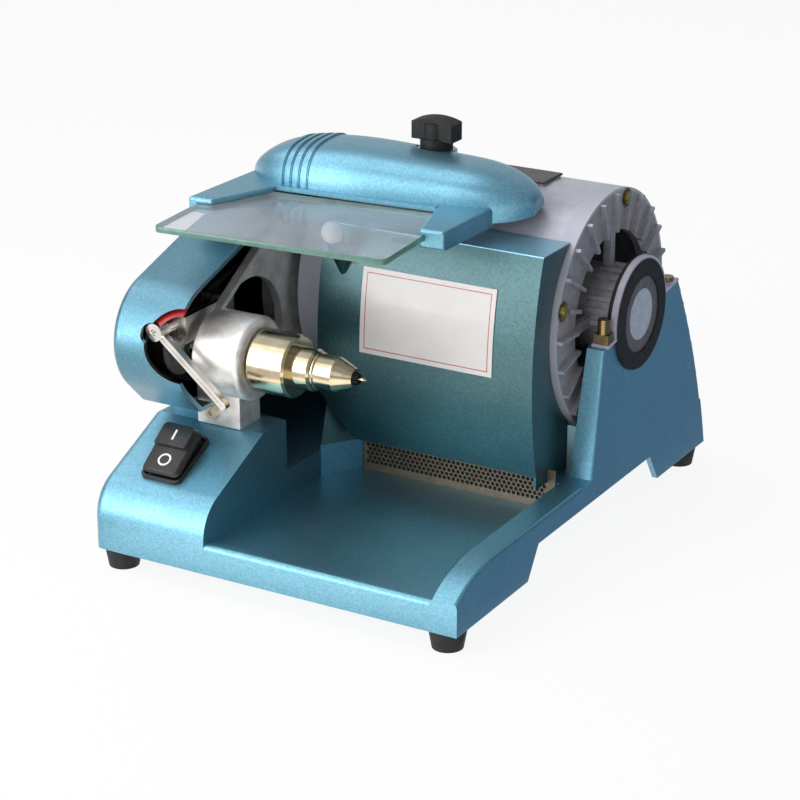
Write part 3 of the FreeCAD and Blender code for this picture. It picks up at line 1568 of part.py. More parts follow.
def glass_shield():
    pane = box(glass_left, glass_right, front + glass_front_setback, front + glass_rear_setback,
               glass_low_z,
               glass_low_z + glass_thick)
    return with_hood_turn(pane)


def post_screw_places():
    return [(side * post_screw_spread / 2, knob_y) for side in (-1, 1)]


def hood_post():
    foot = box(-post_foot_width / 2, post_foot_width / 2, knob_y - post_foot_depth / 2,
               knob_y + post_foot_depth / 2,
               motor_z, post_foot_z)
    post = foot.fuse(rod_z(0, knob_y, motor_z, hood_boss_low_z, post_radius))
    post = post.cut(rod_x(-post_foot_width, post_foot_width, motor_y, motor_z, frame_radius))
    post = post.cut(rod_z(0, knob_y, stud_low_z, hood_boss_low_z + over, stud_radius + run_fit))
    for x, y in post_screw_places():
        post = post.cut(rod_z(x, y, motor_z, post_foot_z + over, post_screw_radius))
    return post


def post_screws():
    screws = []
    for x, y in post_screw_places():
        shank = rod_z(x, y, post_foot_z - post_screw_length, post_foot_z, post_screw_radius)
        screws.append(shank.fuse(rod_z(x, y, post_foot_z, post_foot_z + post_screw_head_height,
                                       post_screw_head)))
    return Part.makeCompound(screws)


def knob_washer():
    return rod_z(0, knob_y, hood_boss_top_z, hood_boss_top_z + knob_washer_thick, knob_washer_radius).cut(
        rod_z(0, knob_y, 0, knob_top_z, stud_radius + slide_fit))


def hood_knob():
    low = hood_boss_top_z + knob_washer_thick
    stem = rod_z(0, knob_y, low, knob_bar_low_z + over, knob_stem_radius)
    half = knob_bar_length / 2
    y0 = knob_y - knob_bar_width / 2
    edge_z = knob_top_z - knob_crown
    ends = [V(-half, y0, knob_bar_low_z), V(half, y0, knob_bar_low_z), V(half, y0, edge_z),
            V(-half, y0, edge_z)]
    crown = Part.Arc(ends[2], V(0, y0, knob_top_z), ends[3]).toShape()
    outline = [Part.makeLine(ends[0], ends[1]), Part.makeLine(ends[1], ends[2]), crown,
               Part.makeLine(ends[3], ends[0])]
    bar = Part.Face(Part.Wire(outline)).extrude(V(0, knob_bar_width, 0))
    bar = rounded(bar, knob_round, lambda edge: runs_along(edge, Z_DIR))
    stud = rod_z(0, knob_y, stud_low_z + over, low + over, stud_radius)
    core = rod_z(0, knob_y, knob_bar_low_z, edge_z, knob_core_radius)
    return bar.multiFuse([stem, stud, core])


def switch_body():
    half_x = rocker_width / 2 + rocker_gap
    half_y = rocker_length / 2 + rocker_gap
    outer_x = bezel_width / 2
    outer_y = bezel_length / 2
    lower = Part.Wire(Part.makePolygon([V(-outer_x, -outer_y, 0), V(outer_x, -outer_y, 0), V(outer_x,
                                                                                             outer_y, 0),
                                        V(-outer_x, outer_y, 0), V(-outer_x, -outer_y, 0)]))
    top_x = outer_x - bezel_slope
    top_y = outer_y - bezel_slope
    upper = Part.Wire(Part.makePolygon([V(-top_x, -top_y, bezel_height), V(top_x, -top_y, bezel_height),
                                        V(top_x, top_y, bezel_height), V(-top_x, top_y, bezel_height),
                                        V(-top_x, -top_y, bezel_height)]))
    bezel = Part.makeLoft([lower, upper], True, True)
    can = box(-half_x - switch_body_wall, half_x + switch_body_wall, -half_y - switch_body_wall,
              half_y + switch_body_wall, -switch_body_depth, bezel_height / 2)
    body = bezel.fuse(can)
    body = body.cut(box(-half_x, half_x, -half_y, half_y, -switch_cavity_depth, bezel_height + over))
    pin_reach = half_x + rocker_pin_grip
    pin_hole = rod_x(-pin_reach - slide_fit, pin_reach + slide_fit, 0, rocker_pivot_up,
                     rocker_pin_radius + run_fit)
    return on_desk_slope(solid_of(body.cut(pin_hole)))


def switch_rocker():
    half = rocker_length / 2 - rocker_end_clear
    top = rocker_height - rocker_pivot_up
    points = [(-half, -rocker_keel), (half, -rocker_keel), (half, top), (0, top - rocker_dip), (-half, top)]
    rocker = plate_yz(points, -rocker_width / 2, rocker_width / 2)
    pin_reach = rocker_width / 2 + rocker_gap + rocker_pin_grip
    rocker = rocker.fuse(rod_x(-pin_reach, pin_reach, 0, 0, rocker_pin_radius))
    rocker = turned(rocker, rocker_tilt, V(0, 0, 0), X_DIR)
    rocker.translate(V(0, 0, rocker_pivot_up))
    return on_desk_slope(rocker)


def junction_box():
    y0 = front + box_front_setback
    y1 = front + box_rear_setback
    pad = box(box_left, box_right, y0, y1, motor_z, box_lid_z)
    return pad.cut(rod_x(box_left - over, box_right + over, motor_y, motor_z, frame_radius))


def junction_lid():
    y0 = front + box_front_setback
    y1 = front + box_rear_setback
    top = box_lid_z + box_lid_thick
    lid = box(box_left - box_lid_lip, box_right + box_lid_lip, y0 - box_lid_lip, y1 + box_lid_lip,
              box_lid_z, top)
    return rounded(lid, box_lid_round, lambda edge: near(edge.CenterOfMass.z, top))


def capacitor_z():
    return deck_z - floor_thick - capacitor_clip - capacitor_radius


def run_capacitor():
    y = rear - capacitor_inset
    can = rod_x(capacitor_x, capacitor_x + capacitor_length, y, capacitor_z(), capacitor_radius)
    return rounded(can, capacitor_round, lambda edge: isinstance(edge.Curve, Part.Circle))


def capacitor_clip_ring():
    y = rear - capacitor_inset
    x0 = capacitor_x + (capacitor_length - capacitor_clip_width) / 2
    x1 = x0 + capacitor_clip_width
    z = capacitor_z()
    band = rod_x(x0, x1, y, z, capacitor_radius + capacitor_clip)
    pad = box(x0, x1, y - capacitor_pad, y + capacitor_pad, z, deck_z - floor_thick)
    return band.fuse(pad).cut(rod_x(x0 - over, x1 + over, y, z, capacitor_radius))


def power_inlet():
    flange_half = inlet_width / 2
    flange = box(-flange_half, flange_half, -inlet_recess, 0, -inlet_height / 2, inlet_height / 2)
    half_x = inlet_socket_width / 2
    half_z = inlet_socket_height / 2
    can = box(-half_x - inlet_wall, half_x + inlet_wall, -inlet_depth, 0, -half_z - inlet_wall,
              half_z + inlet_wall)
    floor_y = -inlet_depth + inlet_floor
    inlet = flange.fuse(can).cut(box(-half_x, half_x, floor_y, over, -half_z, half_z))
    pin = box(-inlet_pin / 2, inlet_pin / 2, floor_y - over, -inlet_pin_inset, -inlet_pin, inlet_pin)
    pins = []
    for shift, up in ((-inlet_pin_pitch, -inlet_pin), (0, inlet_pin), (inlet_pin_pitch, -inlet_pin)):
        copy = pin.copy()
        copy.translate(V(shift, 0, up))
        pins.append(copy)
    return on_rear_wall(inlet.multiFuse(pins))


parts = {
    "base_casting": base_casting(),
    "rubber_feet": rubber_feet(),
    "foot_screws": foot_screws(),
    "perforated_strip": perforated_strip(),
    "filter_sheet": filter_sheet(),
    "motor_guard": motor_guard(),
    "guard_gusset": guard_gusset(),
    "blank_plate": blank_plate(),
    "lamp_holder": lamp_holder(),
    "lamp_globe": lamp_globe(),
    "motor_frame": motor_frame(),
    "right_bell": right_bell(),
    "left_bell": left_bell(),
    "stator_core": stator_core(),
    "stator_windings": stator_windings(),
    "rotor_core": rotor_core(),
    "motor_shaft": motor_shaft(),
    "motor_bearings": motor_bearings(),
    "cooling_fan": cooling_fan(),
    "through_bolts": through_bolts(),
    "rubber_ring": rubber_ring(),
    "hub_cap": hub_cap(),
    "hub_disc": hub_disc(),
    "strap": strap(),
    "strap_screws": strap_screws(),
    "head_casting": head_casting(),
    "housing_cap": housing_cap(),
    "clamp_screw": clamp_screw(),
    "spindle_bearings": spindle_bearings(),
    "spindle_shaft": spindle_shaft(),
    "spindle_nose": spindle_nose(),
    "cone_nut": cone_nut(),
    "collet": collet(),
    "needle": needle(),
    "drawbar": drawbar(),
    "disc_springs": disc_springs(),
    "release_collar": release_collar(),
    "collar_pin": collar_pin(),
    "motor_pulley": grooved_pulley(motor_y, motor_z, motor_pulley_radius, shaft_radius),
    "spindle_pulley": grooved_pulley(spindle_y, spindle_z, spindle_pulley_radius, spindle_radius),
    "drive_belt": drive_belt(),
    "lever_bracket": lever_bracket(),
    "release_lever": release_lever(),
    "cross_shaft": cross_shaft(),
    "belt_guard": belt_guard(),
    "belt_guard_liner": belt_guard_liner(),
    "belt_guard_screws": belt_guard_screws(),
    "hood": hood(),
    "glass_shield": glass_shield(),
    "hood_post": hood_post(),
    "post_screws": post_screws(),
    "knob_washer": knob_washer(),
    "hood_knob": hood_knob(),
    "switch_body": switch_body(),
    "switch_rocker": switch_rocker(),
    "junction_box": junction_box(),
    "junction_lid": junction_lid(),
    "run_capacitor": run_capacitor(),
    "capacitor_clip": capacitor_clip_ring(),
    "power_inlet": power_inlet(),
}

os.makedirs("parts", exist_ok=True)
for name, shape in parts.items():
    shape.exportStep("parts/" + name + ".step")
    print(name, len(shape.Solids), "valid" if shape.isValid() else "NOT VALID",
          round(shape.Volume / 1000, 2), "cm3")
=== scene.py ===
"""Looks of the bench carving lathe: finishes for the CAD pieces and the trim modelled on them."""
import json
import math

import bmesh
import bpy
from mathutils import Matrix, Vector


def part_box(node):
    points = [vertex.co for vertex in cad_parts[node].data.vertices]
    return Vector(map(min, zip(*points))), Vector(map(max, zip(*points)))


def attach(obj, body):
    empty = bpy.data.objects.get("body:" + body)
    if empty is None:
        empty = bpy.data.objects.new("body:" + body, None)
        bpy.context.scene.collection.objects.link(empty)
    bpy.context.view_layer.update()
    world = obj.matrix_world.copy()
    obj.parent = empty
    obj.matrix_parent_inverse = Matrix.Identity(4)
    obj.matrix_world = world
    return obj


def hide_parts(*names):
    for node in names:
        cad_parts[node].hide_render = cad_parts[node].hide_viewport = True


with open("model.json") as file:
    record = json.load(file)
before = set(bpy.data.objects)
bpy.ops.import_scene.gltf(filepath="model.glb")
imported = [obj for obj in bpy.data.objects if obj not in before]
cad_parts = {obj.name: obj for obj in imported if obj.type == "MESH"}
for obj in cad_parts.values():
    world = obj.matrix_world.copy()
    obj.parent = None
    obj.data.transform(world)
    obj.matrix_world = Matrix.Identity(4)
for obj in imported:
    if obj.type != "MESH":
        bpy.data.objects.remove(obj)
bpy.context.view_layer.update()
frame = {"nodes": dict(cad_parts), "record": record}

mm = 0.001
scene = bpy.context.scene
scene.view_settings.view_transform = "Standard"

# places shared with the part's source, in metres
front = -185 * mm
stud_y = 29 * mm
motor_y = 65 * mm
motor_z = 147 * mm
bell_rim = 80 * mm
desk_slope = math.radians(24.4)
desk_front_z = 53.3 * mm
switch_x = -96 * mm
switch_setback = 40 * mm
switch_z = desk_front_z + switch_setback * math.tan(desk_slope)
switch_place = Vector((switch_x, front + switch_setback, switch_z))
on_desk = Matrix.Translation(switch_place) @ Matrix.Rotation(desk_slope, 4, "X")
hood_turn = math.radians(4.5)
on_hood = (Matrix.Translation((0, stud_y, 0)) @ Matrix.Rotation(hood_turn, 4, "Z")
           @ Matrix.Translation((0, -stud_y, 0)))


def camera_at(place, aim, lens):
    """The photograph's viewpoint."""
    data = bpy.data.cameras.new("view")
    data.lens = lens
    data.sensor_width = 36
    data.clip_start = 0.05
    camera = bpy.data.objects.new("view", data)
    camera.location = place
    camera.rotation_euler = (Vector(aim) - Vector(place)).to_track_quat("-Z", "Y").to_euler()
    scene.collection.objects.link(camera)
    scene.camera = camera


camera_at(place=(0.7992, -1.4038, 0.7013), aim=(0.0089, -0.035, 0.0946), lens=114.75)


def colour(hex_code):
    """An sRGB hex colour as the linear values that a shader takes."""
    channels = [int(hex_code[i:i + 2], 16) / 255 for i in (1, 3, 5)]
    linear = [c / 12.92 if c <= 0.04045 else ((c + 0.055) / 1.055) ** 2.4 for c in channels]
    return (*linear, 1.0)


def per(size):
    """A texture scale that repeats about once in this many millimetres."""
    return 1 / (size * mm)


def add(tree, kind, values=None, **settings):
    """Adds a node. values sets its inputs, by name or number, to a number or to another node's output."""
    node = tree.nodes.new("ShaderNode" + kind)
    for name, value in settings.items():
        setattr(node, name, value)
    for key, value in (values or {}).items():
        if isinstance(value, bpy.types.NodeSocket):
            tree.links.new(value, node.inputs[key])
        else:
            node.inputs[key].default_value = value
    return node


def start(name, values):
    """A new material: its tree, its shader with these plain values, and the object coordinates."""
    material = bpy.data.materials.new(name)
    material.use_nodes = True
    tree = material.node_tree
    shader = tree.nodes["Principled BSDF"]
    for key, value in values.items():
        shader.inputs[key].default_value = value
    return material, tree, shader, add(tree, "TexCoord").outputs["Object"]


def mottle(tree, shader, place, low, high, grain, detail=2.0):
    """Colour that drifts between two shades over patches of this many millimetres."""
    noise = add(tree, "TexNoise", {"Vector": place, "Scale": per(grain), "Detail": detail})
    spread = add(tree, "MapRange", {0: noise.outputs[0], 1: 0.3, 2: 0.7})
    mix = add(tree, "Mix", {0: spread.outputs[0], 6: colour(low), 7: colour(high)}, data_type="RGBA")
    tree.links.new(mix.outputs[2], shader.inputs["Base Color"])
    return mix.outputs[2]


def sheen_patches(tree, shader, place, low, high, grain):
    """Roughness that wanders between two values over patches of this many millimetres."""
    noise = add(tree, "TexNoise", {"Vector": place, "Scale": per(grain), "Detail": 3.0})
    spread = add(tree, "MapRange", {0: noise.outputs[0], 1: 0.3, 2: 0.7, 3: low, 4: high})
    tree.links.new(spread.outputs[0], shader.inputs["Roughness"])


def relief(tree, shader, height, depth, strength):
    """Bumps of this depth in millimetres, from a height pattern."""
    bump = add(tree, "Bump", {"Height": height, "Distance": depth * mm, "Strength": strength})
    tree.links.new(bump.outputs[0], shader.inputs["Normal"])


# painted highlight: pale teal for the top band of a piece, where the light falls on it
lit_top_teal = "#86c0dc"
# painted shade: near-black for the inner sides of a hollow piece
shade_black = "#0d0d0e"


def pearl_enamel(name, dark, light, cloud, flake=0.85, lit_above=None, shaded_inside=None):
    """Stoved pearl enamel sprayed on metal: fine bright flakes, a soft gloss over them, slight orange peel.
    flake is the share of the colour that comes from the flakes. Above the height given for the top band the
    colour
    is pale: painted highlight. The sides that face the point given inside a hollow piece are near-black:
    painted shade."""
    material, tree, shader, place = start(name, {
        "Metallic": flake, "Coat Weight": 1.0, "Coat Roughness": 0.36})
    flakes = add(tree, "TexVoronoi", {"Vector": place, "Scale": per(0.9)})
    tone = add(tree, "SeparateColor", {0: flakes.outputs["Color"]})
    fleck = add(tree, "Mix", {0: tone.outputs[0], 6: colour(dark), 7: colour(light)}, data_type="RGBA")
    drift = add(tree, "TexNoise", {"Vector": place, "Scale": per(30), "Detail": 2.0})
    share = add(tree, "MapRange", {0: drift.outputs[0], 1: 0.3, 2: 0.7, 3: 0.0, 4: 0.3})
    paint = add(tree, "Mix", {0: share.outputs[0], 6: fleck.outputs[2], 7: colour(cloud)}, data_type="RGBA")
    # painted highlight: above the given height the colour turns pale, standing for the light on the top band
    if lit_above:
        height = add(tree, "SeparateXYZ", {0: place}).outputs[2]
        lit_band = add(tree, "Math", {0: height, 1: lit_above}, operation="GREATER_THAN")
        paint = add(tree, "Mix", {0: lit_band.outputs[0], 6: paint.outputs[2], 7: colour(lit_top_teal)},
                    data_type="RGBA")
    # painted shade: the sides that face the given inside point are coloured near-black
    if shaded_inside:
        outwards = add(tree, "VectorMath", {0: place, 1: shaded_inside}, operation="SUBTRACT")
        normal = add(tree, "NewGeometry").outputs["Normal"]
        side = add(tree, "VectorMath", {0: outwards.outputs[0], 1: normal}, operation="DOT_PRODUCT")
        outer = add(tree, "Math", {0: side.outputs["Value"], 1: 0.0}, operation="GREATER_THAN")
        paint = add(tree, "Mix", {0: outer.outputs[0], 6: colour(shade_black), 7: paint.outputs[2]},
                    data_type="RGBA")
    tree.links.new(paint.outputs[2], shader.inputs["Base Color"])
    sheen_patches(tree, shader, place, 0.36, 0.46, 2.0)
    peel = add(tree, "TexNoise", {"Vector": place, "Scale": per(1.6), "Detail": 2.0})
    relief(tree, shader, peel.outputs[0], 0.12, 0.35)
    return material


def satin_enamel(name, low, high):
    """Air-dried satin enamel on rolled steel: even colour with a little drift and a soft gloss."""
    material, tree, shader, place = start(name, {"Metallic": 0.1, "Coat Weight": 0.2, "Coat Roughness": 0.2})
    mottle(tree, shader, place, low, high, 8.0)
    sheen_patches(tree, shader, place, 0.3, 0.42, 3.0)
    peel = add(tree, "TexNoise", {"Vector": place, "Scale": per(1.8), "Detail": 2.0})
    relief(tree, shader, peel.outputs[0], 0.08, 0.25)
    return material


def cast_metal(name, low, high, rough_low, rough_high, grain, depth, bare=1.0):
    """Cast metal: finely pitted skin whose shine wanders. bare is the share not dulled over."""
    material, tree, shader, place = start(name, {"Metallic": bare})
    mottle(tree, shader, place, low, high, grain * 4)
    sheen_patches(tree, shader, place, rough_low, rough_high, grain * 2)
    skin = add(tree, "TexNoise", {"Vector": place, "Scale": per(grain), "Detail": 4.0})
    relief(tree, shader, skin.outputs[0], depth, 0.4)
    return material


def rimmed_bell(name):
    """Die-cast aluminium whose rim was sprayed together with the motor frame that it closes."""
    material, tree, shader, place = start(name, {})
    cast = mottle(tree, shader, place, "#9e9ea5", "#b2b2b9", 3.6)
    spoke = add(tree, "VectorMath", {0: place, 1: (0, motor_y, motor_z)}, operation="SUBTRACT")
    flat = add(tree, "VectorMath", {0: spoke.outputs[0], 1: (0, 1, 1)}, operation="MULTIPLY")
    reach = add(tree, "VectorMath", {0: flat.outputs[0]}, operation="LENGTH")
    rim = add(tree, "Math", {0: reach.outputs["Value"], 1: bell_rim}, operation="GREATER_THAN")
    paint = add(tree, "Mix", {0: rim.outputs[0], 6: cast, 7: colour("#b8bac6")}, data_type="RGBA")
    tree.links.new(paint.outputs[2], shader.inputs["Base Color"])
    bare = add(tree, "MapRange", {0: rim.outputs[0], 3: 0.55, 4: 0.1})
    tree.links.new(bare.outputs[0], shader.inputs["Metallic"])
    sheen_patches(tree, shader, place, 0.4, 0.55, 1.8)
    skin = add(tree, "TexNoise", {"Vector": place, "Scale": per(0.9), "Detail": 4.0})
    depth = add(tree, "MapRange", {0: rim.outputs[0], 3: 0.4, 4: 0.1})
    relief(tree, shader, skin.outputs[0], 0.12, depth.outputs[0])
    return material


def turned_metal(name, low, high, rough_low, rough_high, pitch):
    """Metal turned or ground along X: fine rings round the axis, drawn coarser than real to show."""
    material, tree, shader, place = start(name, {"Metallic": 1.0})
    mottle(tree, shader, place, low, high, 12.0)
    rings = add(tree, "Mapping", {"Vector": place, "Scale": (1.0, 0.02, 0.02)})
    lines = add(tree, "TexNoise", {"Vector": rings.outputs[0], "Scale": per(pitch), "Detail": 2.0})
    spread = add(tree, "MapRange", {0: lines.outputs[0], 1: 0.3, 2: 0.7, 3: rough_low, 4: rough_high})
    tree.links.new(spread.outputs[0], shader.inputs["Roughness"])
    relief(tree, shader, lines.outputs[0], 0.03, 0.15)
    return material


def turned_disc(name, low, high, middle):
    """A disc faced in the lathe: fine rings about its middle that break the light into a fan."""
    material, tree, shader, place = start(name, {"Metallic": 0.6})
    mottle(tree, shader, place, low, high, 6.0)
    centred = add(tree, "VectorMath", {0: place, 1: middle}, operation="SUBTRACT")
    rings = add(tree, "TexWave", {"Vector": centred.outputs[0], "Scale": per(2.6) / 6.3, "Distortion": 0.2},
                wave_type="RINGS", rings_direction="X")
    spread = add(tree, "MapRange", {0: rings.outputs[1], 1: 0.0, 2: 1.0, 3: 0.25, 4: 0.38})
    tree.links.new(spread.outputs[0], shader.inputs["Roughness"])
    relief(tree, shader, rings.outputs[1], 0.06, 0.25)
    return material


def moulded(name, low, high, rough_low, rough_high, grain, depth):
    """Moulded plastic or rubber: even colour, with the fine spark grain of the mould."""
    material, tree, shader, place = start(name, {"IOR": 1.5})
    mottle(tree, shader, place, low, high, 6.0)
    sheen_patches(tree, shader, place, rough_low, rough_high, 4.0)
    spark = add(tree, "TexNoise", {"Vector": place, "Scale": per(grain), "Detail": 3.0})
    relief(tree, shader, spark.outputs[0], depth, 0.3)
    return material


border_inset = 3.5 * mm
border_half = 0.35 * mm


def bordered_plate():
    """Screen-printed white enamel plate, left blank inside a thin red line near its edge."""
    low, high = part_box("blank_plate")
    material, tree, shader, place = start("plate_white_enamel", {"Roughness": 0.35, "Coat Weight": 0.2})
    spot = add(tree, "SeparateXYZ", {0: place})
    edges = []
    for axis, middle, half in ((0, (low.x + high.x) / 2, (high.x - low.x) / 2),
                               (2, (low.z + high.z) / 2, (high.z - low.z) / 2)):
        away = add(tree, "Math", {0: spot.outputs[axis], 1: -middle}, operation="ADD")
        reach = add(tree, "Math", {0: away.outputs[0]}, operation="ABSOLUTE")
        edges.append(add(tree, "Math", {0: half, 1: reach.outputs[0]}, operation="SUBTRACT").outputs[0])
    inset = add(tree, "Math", {0: edges[0], 1: edges[1]}, operation="MINIMUM")
    line = add(tree, "Math", {0: inset.outputs[0], 1: border_inset, 2: border_half}, operation="COMPARE")
    haze = add(tree, "TexNoise", {"Vector": place, "Scale": per(15), "Detail": 2.0})
    white = add(tree, "Mix", {0: haze.outputs[0], 6: colour("#d3cdca"), 7: colour("#e0dbd8")},
                data_type="RGBA")
    print_ = add(tree, "Mix", {0: line.outputs[0], 6: white.outputs[2], 7: colour("#b8524c")},
                 data_type="RGBA")
    tree.links.new(print_.outputs[2], shader.inputs["Base Color"])
    return material


def clear_glass():
    """Float glass, half clear and sharply glossy; its pale surface colour is painted reflection of the bright
    room.
    """
    material, tree, shader, place = start("float_glass_painted_reflection", {"IOR": 1.5, "Alpha": 0.4})
    # painted reflection: pale grey-lavender that stands for the room seen in the pane
    mottle(tree, shader, place, "#b4bfca", "#cdd6df", 30.0)
    sheen_patches(tree, shader, place, 0.04, 0.1, 20.0)
    return material


def ground_glass():
    """The pane's edges, ground dull: pale green, seen through the thickness of the glass."""
    material, tree, shader, place = start("float_glass_ground_edge", {
        "IOR": 1.5, "Transmission Weight": 0.3, "Coat Weight": 0.3})
    mottle(tree, shader, place, "#4f8070", "#629483", 6.0)
    sheen_patches(tree, shader, place, 0.3, 0.45, 3.0)
    return material


def opal_glass():
    """Opal glass bulb: white, glowing softly through its thickness, glossy outside."""
    material, tree, shader, place = start("opal_glass_blown", {
        "IOR": 1.5, "Subsurface Weight": 0.3, "Subsurface Radius": (0.004, 0.004, 0.004)})
    mottle(tree, shader, place, "#e9eff0", "#f7fafa", 5.0)
    sheen_patches(tree, shader, place, 0.12, 0.2, 4.0)
    return material


def laminated_steel():
    """Stacked electrical steel sheets, half a millimetre each: dull grey with fine stripes along X."""
    material, tree, shader, place = start("electrical_steel_stacked", {"Metallic": 1.0})
    mottle(tree, shader, place, "#5c5d60", "#74767a", 3.0)
    sheets = add(tree, "TexWave", {"Vector": place, "Scale": per(0.5) / 6.3})
    spread = add(tree, "MapRange", {0: sheets.outputs[1], 1: 0.0, 2: 1.0, 3: 0.4, 4: 0.6})
    tree.links.new(spread.outputs[0], shader.inputs["Roughness"])
    relief(tree, shader, sheets.outputs[1], 0.1, 0.4)
    return material


finishes = {
    "teal_paint": pearl_enamel("pearl_enamel_sprayed", "#5797af", "#74b0c8", "#4c8da6"),
    "grey_paint": satin_enamel("grey_enamel_satin", "#b0b2bf", "#c0c2cc"),
    "brown_paint": satin_enamel("brown_enamel_satin", "#382a28", "#443431"),
    "red_paint": satin_enamel("red_enamel_satin", "#980708", "#ac0e0f"),
    "black_rubber": moulded("nitrile_rubber_moulded", "#161617", "#222224", 0.6, 0.75, 1.2, 0.05),
    "bright_steel": turned_metal("chromed_steel_turned", "#b0a385", "#c2b69b", 0.1, 0.22, 0.4),
    "plain_steel": turned_metal("zinc_plated_steel", "#b4b4b2", "#c9c8c4", 0.22, 0.36, 0.8),
    "core_steel": laminated_steel(),
    "strip_steel": cast_metal("galvanised_steel_rolled", "#9d978a", "#b3ad9f", 0.35, 0.5, 2.0, 0.03),
    "cast_aluminium": cast_metal("aluminium_scraped_casting", "#cfcac5", "#f6f6f4", 0.36, 0.46, 3.0, 0.05,
                                 0.65),
    "bell_aluminium": rimmed_bell("aluminium_die_cast"),
    "yellow_brass": turned_metal("yellow_brass_turned", "#b98f47", "#cda75c", 0.2, 0.32, 0.5),
    "enamelled_copper": turned_metal("copper_wire_enamelled", "#8a4524", "#a85a30", 0.3, 0.4, 0.8),
    "black_plastic": moulded("black_nylon_moulded", "#121111", "#191818", 0.45, 0.55, 0.7, 0.05),
    "gloss_black": moulded("black_silicone_moulded", "#1a1817", "#242120", 0.36, 0.46, 1.0, 0.05),
    "white_plate": bordered_plate(),
    "frosted_white": opal_glass(),
    "grey_plastic": moulded("grey_abs_moulded", "#6f7276", "#7d8084", 0.4, 0.5, 0.7, 0.05),
    "clear_glass": clear_glass(),
}

ground_edge = ground_glass()
mark_paint = moulded("white_ink_printed", "#ececea", "#f8f8f6", 0.4, 0.5, 0.5, 0.02)

# pieces whose surface departs from the rest of their slot
# painted shade: the guard, gusset and lamp holder under the hood get a darker copy of the teal
shaded_enamel = pearl_enamel("pearl_enamel_shaded_under_hood", "#18474d", "#2b6266", "#17444c", flake=0.75,
                             lit_above=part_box("motor_guard")[1].z - 0.6 * mm)
chrome_polished = turned_metal("chromed_steel_polished", "#d5d2cb", "#e8e5df", 0.14, 0.24, 0.5)
own_finish = {
    "motor_guard": shaded_enamel,
    "guard_gusset": shaded_enamel,
    "lamp_holder": shaded_enamel,
    # painted shade: the belt guard gets a darker copy of the teal, and its inner sides are painted black
    "belt_guard": pearl_enamel("pearl_enamel_black_inside", "#447d92", "#5b93a8", "#3d768b",
                               shaded_inside=(-100 * mm, -60 * mm, 140 * mm)),
    "hub_disc": turned_disc("nickel_silver_faced", "#d3d2da", "#e2e1e8", (0, motor_y, motor_z)),
    "hub_cap": moulded("grey_nylon_moulded", "#5a595f", "#66656b", 0.45, 0.55, 0.8, 0.05),
    "strap": satin_enamel("zinc_plated_strap", "#b3afc6", "#c6c3d6"),
    "strap_screws": turned_metal("brass_darkened_turned", "#7d6b4a", "#97845e", 0.16, 0.28, 0.5),
    "through_bolts": turned_metal("zinc_yellow_passivated", "#b3a35c", "#c6b976", 0.3, 0.42, 0.6),
    "hood_knob": moulded("black_phenolic_moulded", "#070707", "#0d0d0d", 0.55, 0.68, 0.7, 0.05),
    "clamp_screw": cast_metal("steel_zinc_plated_socket", "#cfc4ae", "#e2d9c8", 0.3, 0.42, 1.0, 0.02, 0.5),
    "release_lever": chrome_polished,
    "cross_shaft": chrome_polished,
    "perforated_strip": cast_metal("steel_rolled_stained", "#7b6d5c", "#8f806c", 0.45, 0.6, 2.0, 0.03, 0.6),
    # painted shade: the collet, recessed in the nose, is coloured near-black
    "collet": turned_metal("spring_steel_painted_shade", "#2c2a28", "#3a3733", 0.3, 0.4, 0.5),
}

slot_of = {row["node"]: row["material_slot"] for row in frame["record"]["subparts"]}
for node, obj in frame["nodes"].items():
    obj.data.materials.clear()
    obj.data.materials.append(own_finish.get(node, finishes[slot_of[node]]))


def piece(name, bm, body, slot, materials=None, replaces=(), smooth=35):
    """Ends a bmesh as a piece of the part: shaded, given its finish and set on its body."""
    mesh = bpy.data.meshes.new(name)
    bm.to_mesh(mesh)
    bm.free()
    mesh.shade_smooth()
    mesh.set_sharp_from_angle(angle=math.radians(smooth))
    for material in materials or [finishes[slot]]:
        mesh.materials.append(material)
    obj = bpy.data.objects.new(name, mesh)
    scene.collection.objects.link(obj)
    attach(obj, body)
    if replaces:
        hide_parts(*replaces)
    return obj


def rounded(bm, edges, radius, segments=3):
    """Rounds these edges over, with an arc of this radius."""
    return bmesh.ops.bevel(bm, geom=list(edges), offset=radius, affect="EDGES", segments=segments,
                           profile=0.5, material=-1, clamp_overlap=True)


def block(bm, low, high):
    """Adds a box between two corners given in millimetres."""
    size = (Vector(high) - Vector(low)) * mm
    middle = (Vector(high) + Vector(low)) / 2 * mm
    place = Matrix.Translation(middle) @ Matrix.Diagonal((*size, 1))
    return bmesh.ops.create_cube(bm, size=1, matrix=place)["verts"]


def upright(edge):
    run = edge.verts[0].co - edge.verts[1].co
    return abs(run.z) > 0.9 * run.length


def facing(bm, side):
    """The face whose middle lies furthest towards this side."""
    return max(bm.faces, key=lambda face: face.calc_center_median().dot(Vector(side)))


# switch: a two-step rocker cap with its printed marks, in millimetres from the rocker's pin
rocker_tilt = math.radians(11)
pin_up = 1 * mm
on_rocker = on_desk @ Matrix.Translation((0, 0, pin_up)) @ Matrix.Rotation(rocker_tilt, 4, "X")
boot_low, boot_high = (-11.4, -18.2, -3), (13.4, 15.8, 6.4)
boot_corner = 3.5
boot_flare, boot_band, boot_crown, boot_step = 0.2, 1.2, 2.4, 3.6
step_line = -0.8
bezel_low, bezel_high = (-14.7, -23.4, -0.5), (16.2, 20.2, 2.6)
bezel_corner = 5
bezel_lip = 1.2
well_depth = 9
bar_low, bar_high = (0.25, 3.5, 13.6), (1.75, 11.4, 13.95)
ring_place = (1, -10, 10.15)
ring_radii = (3.4, 4.7)
ink = 0.15


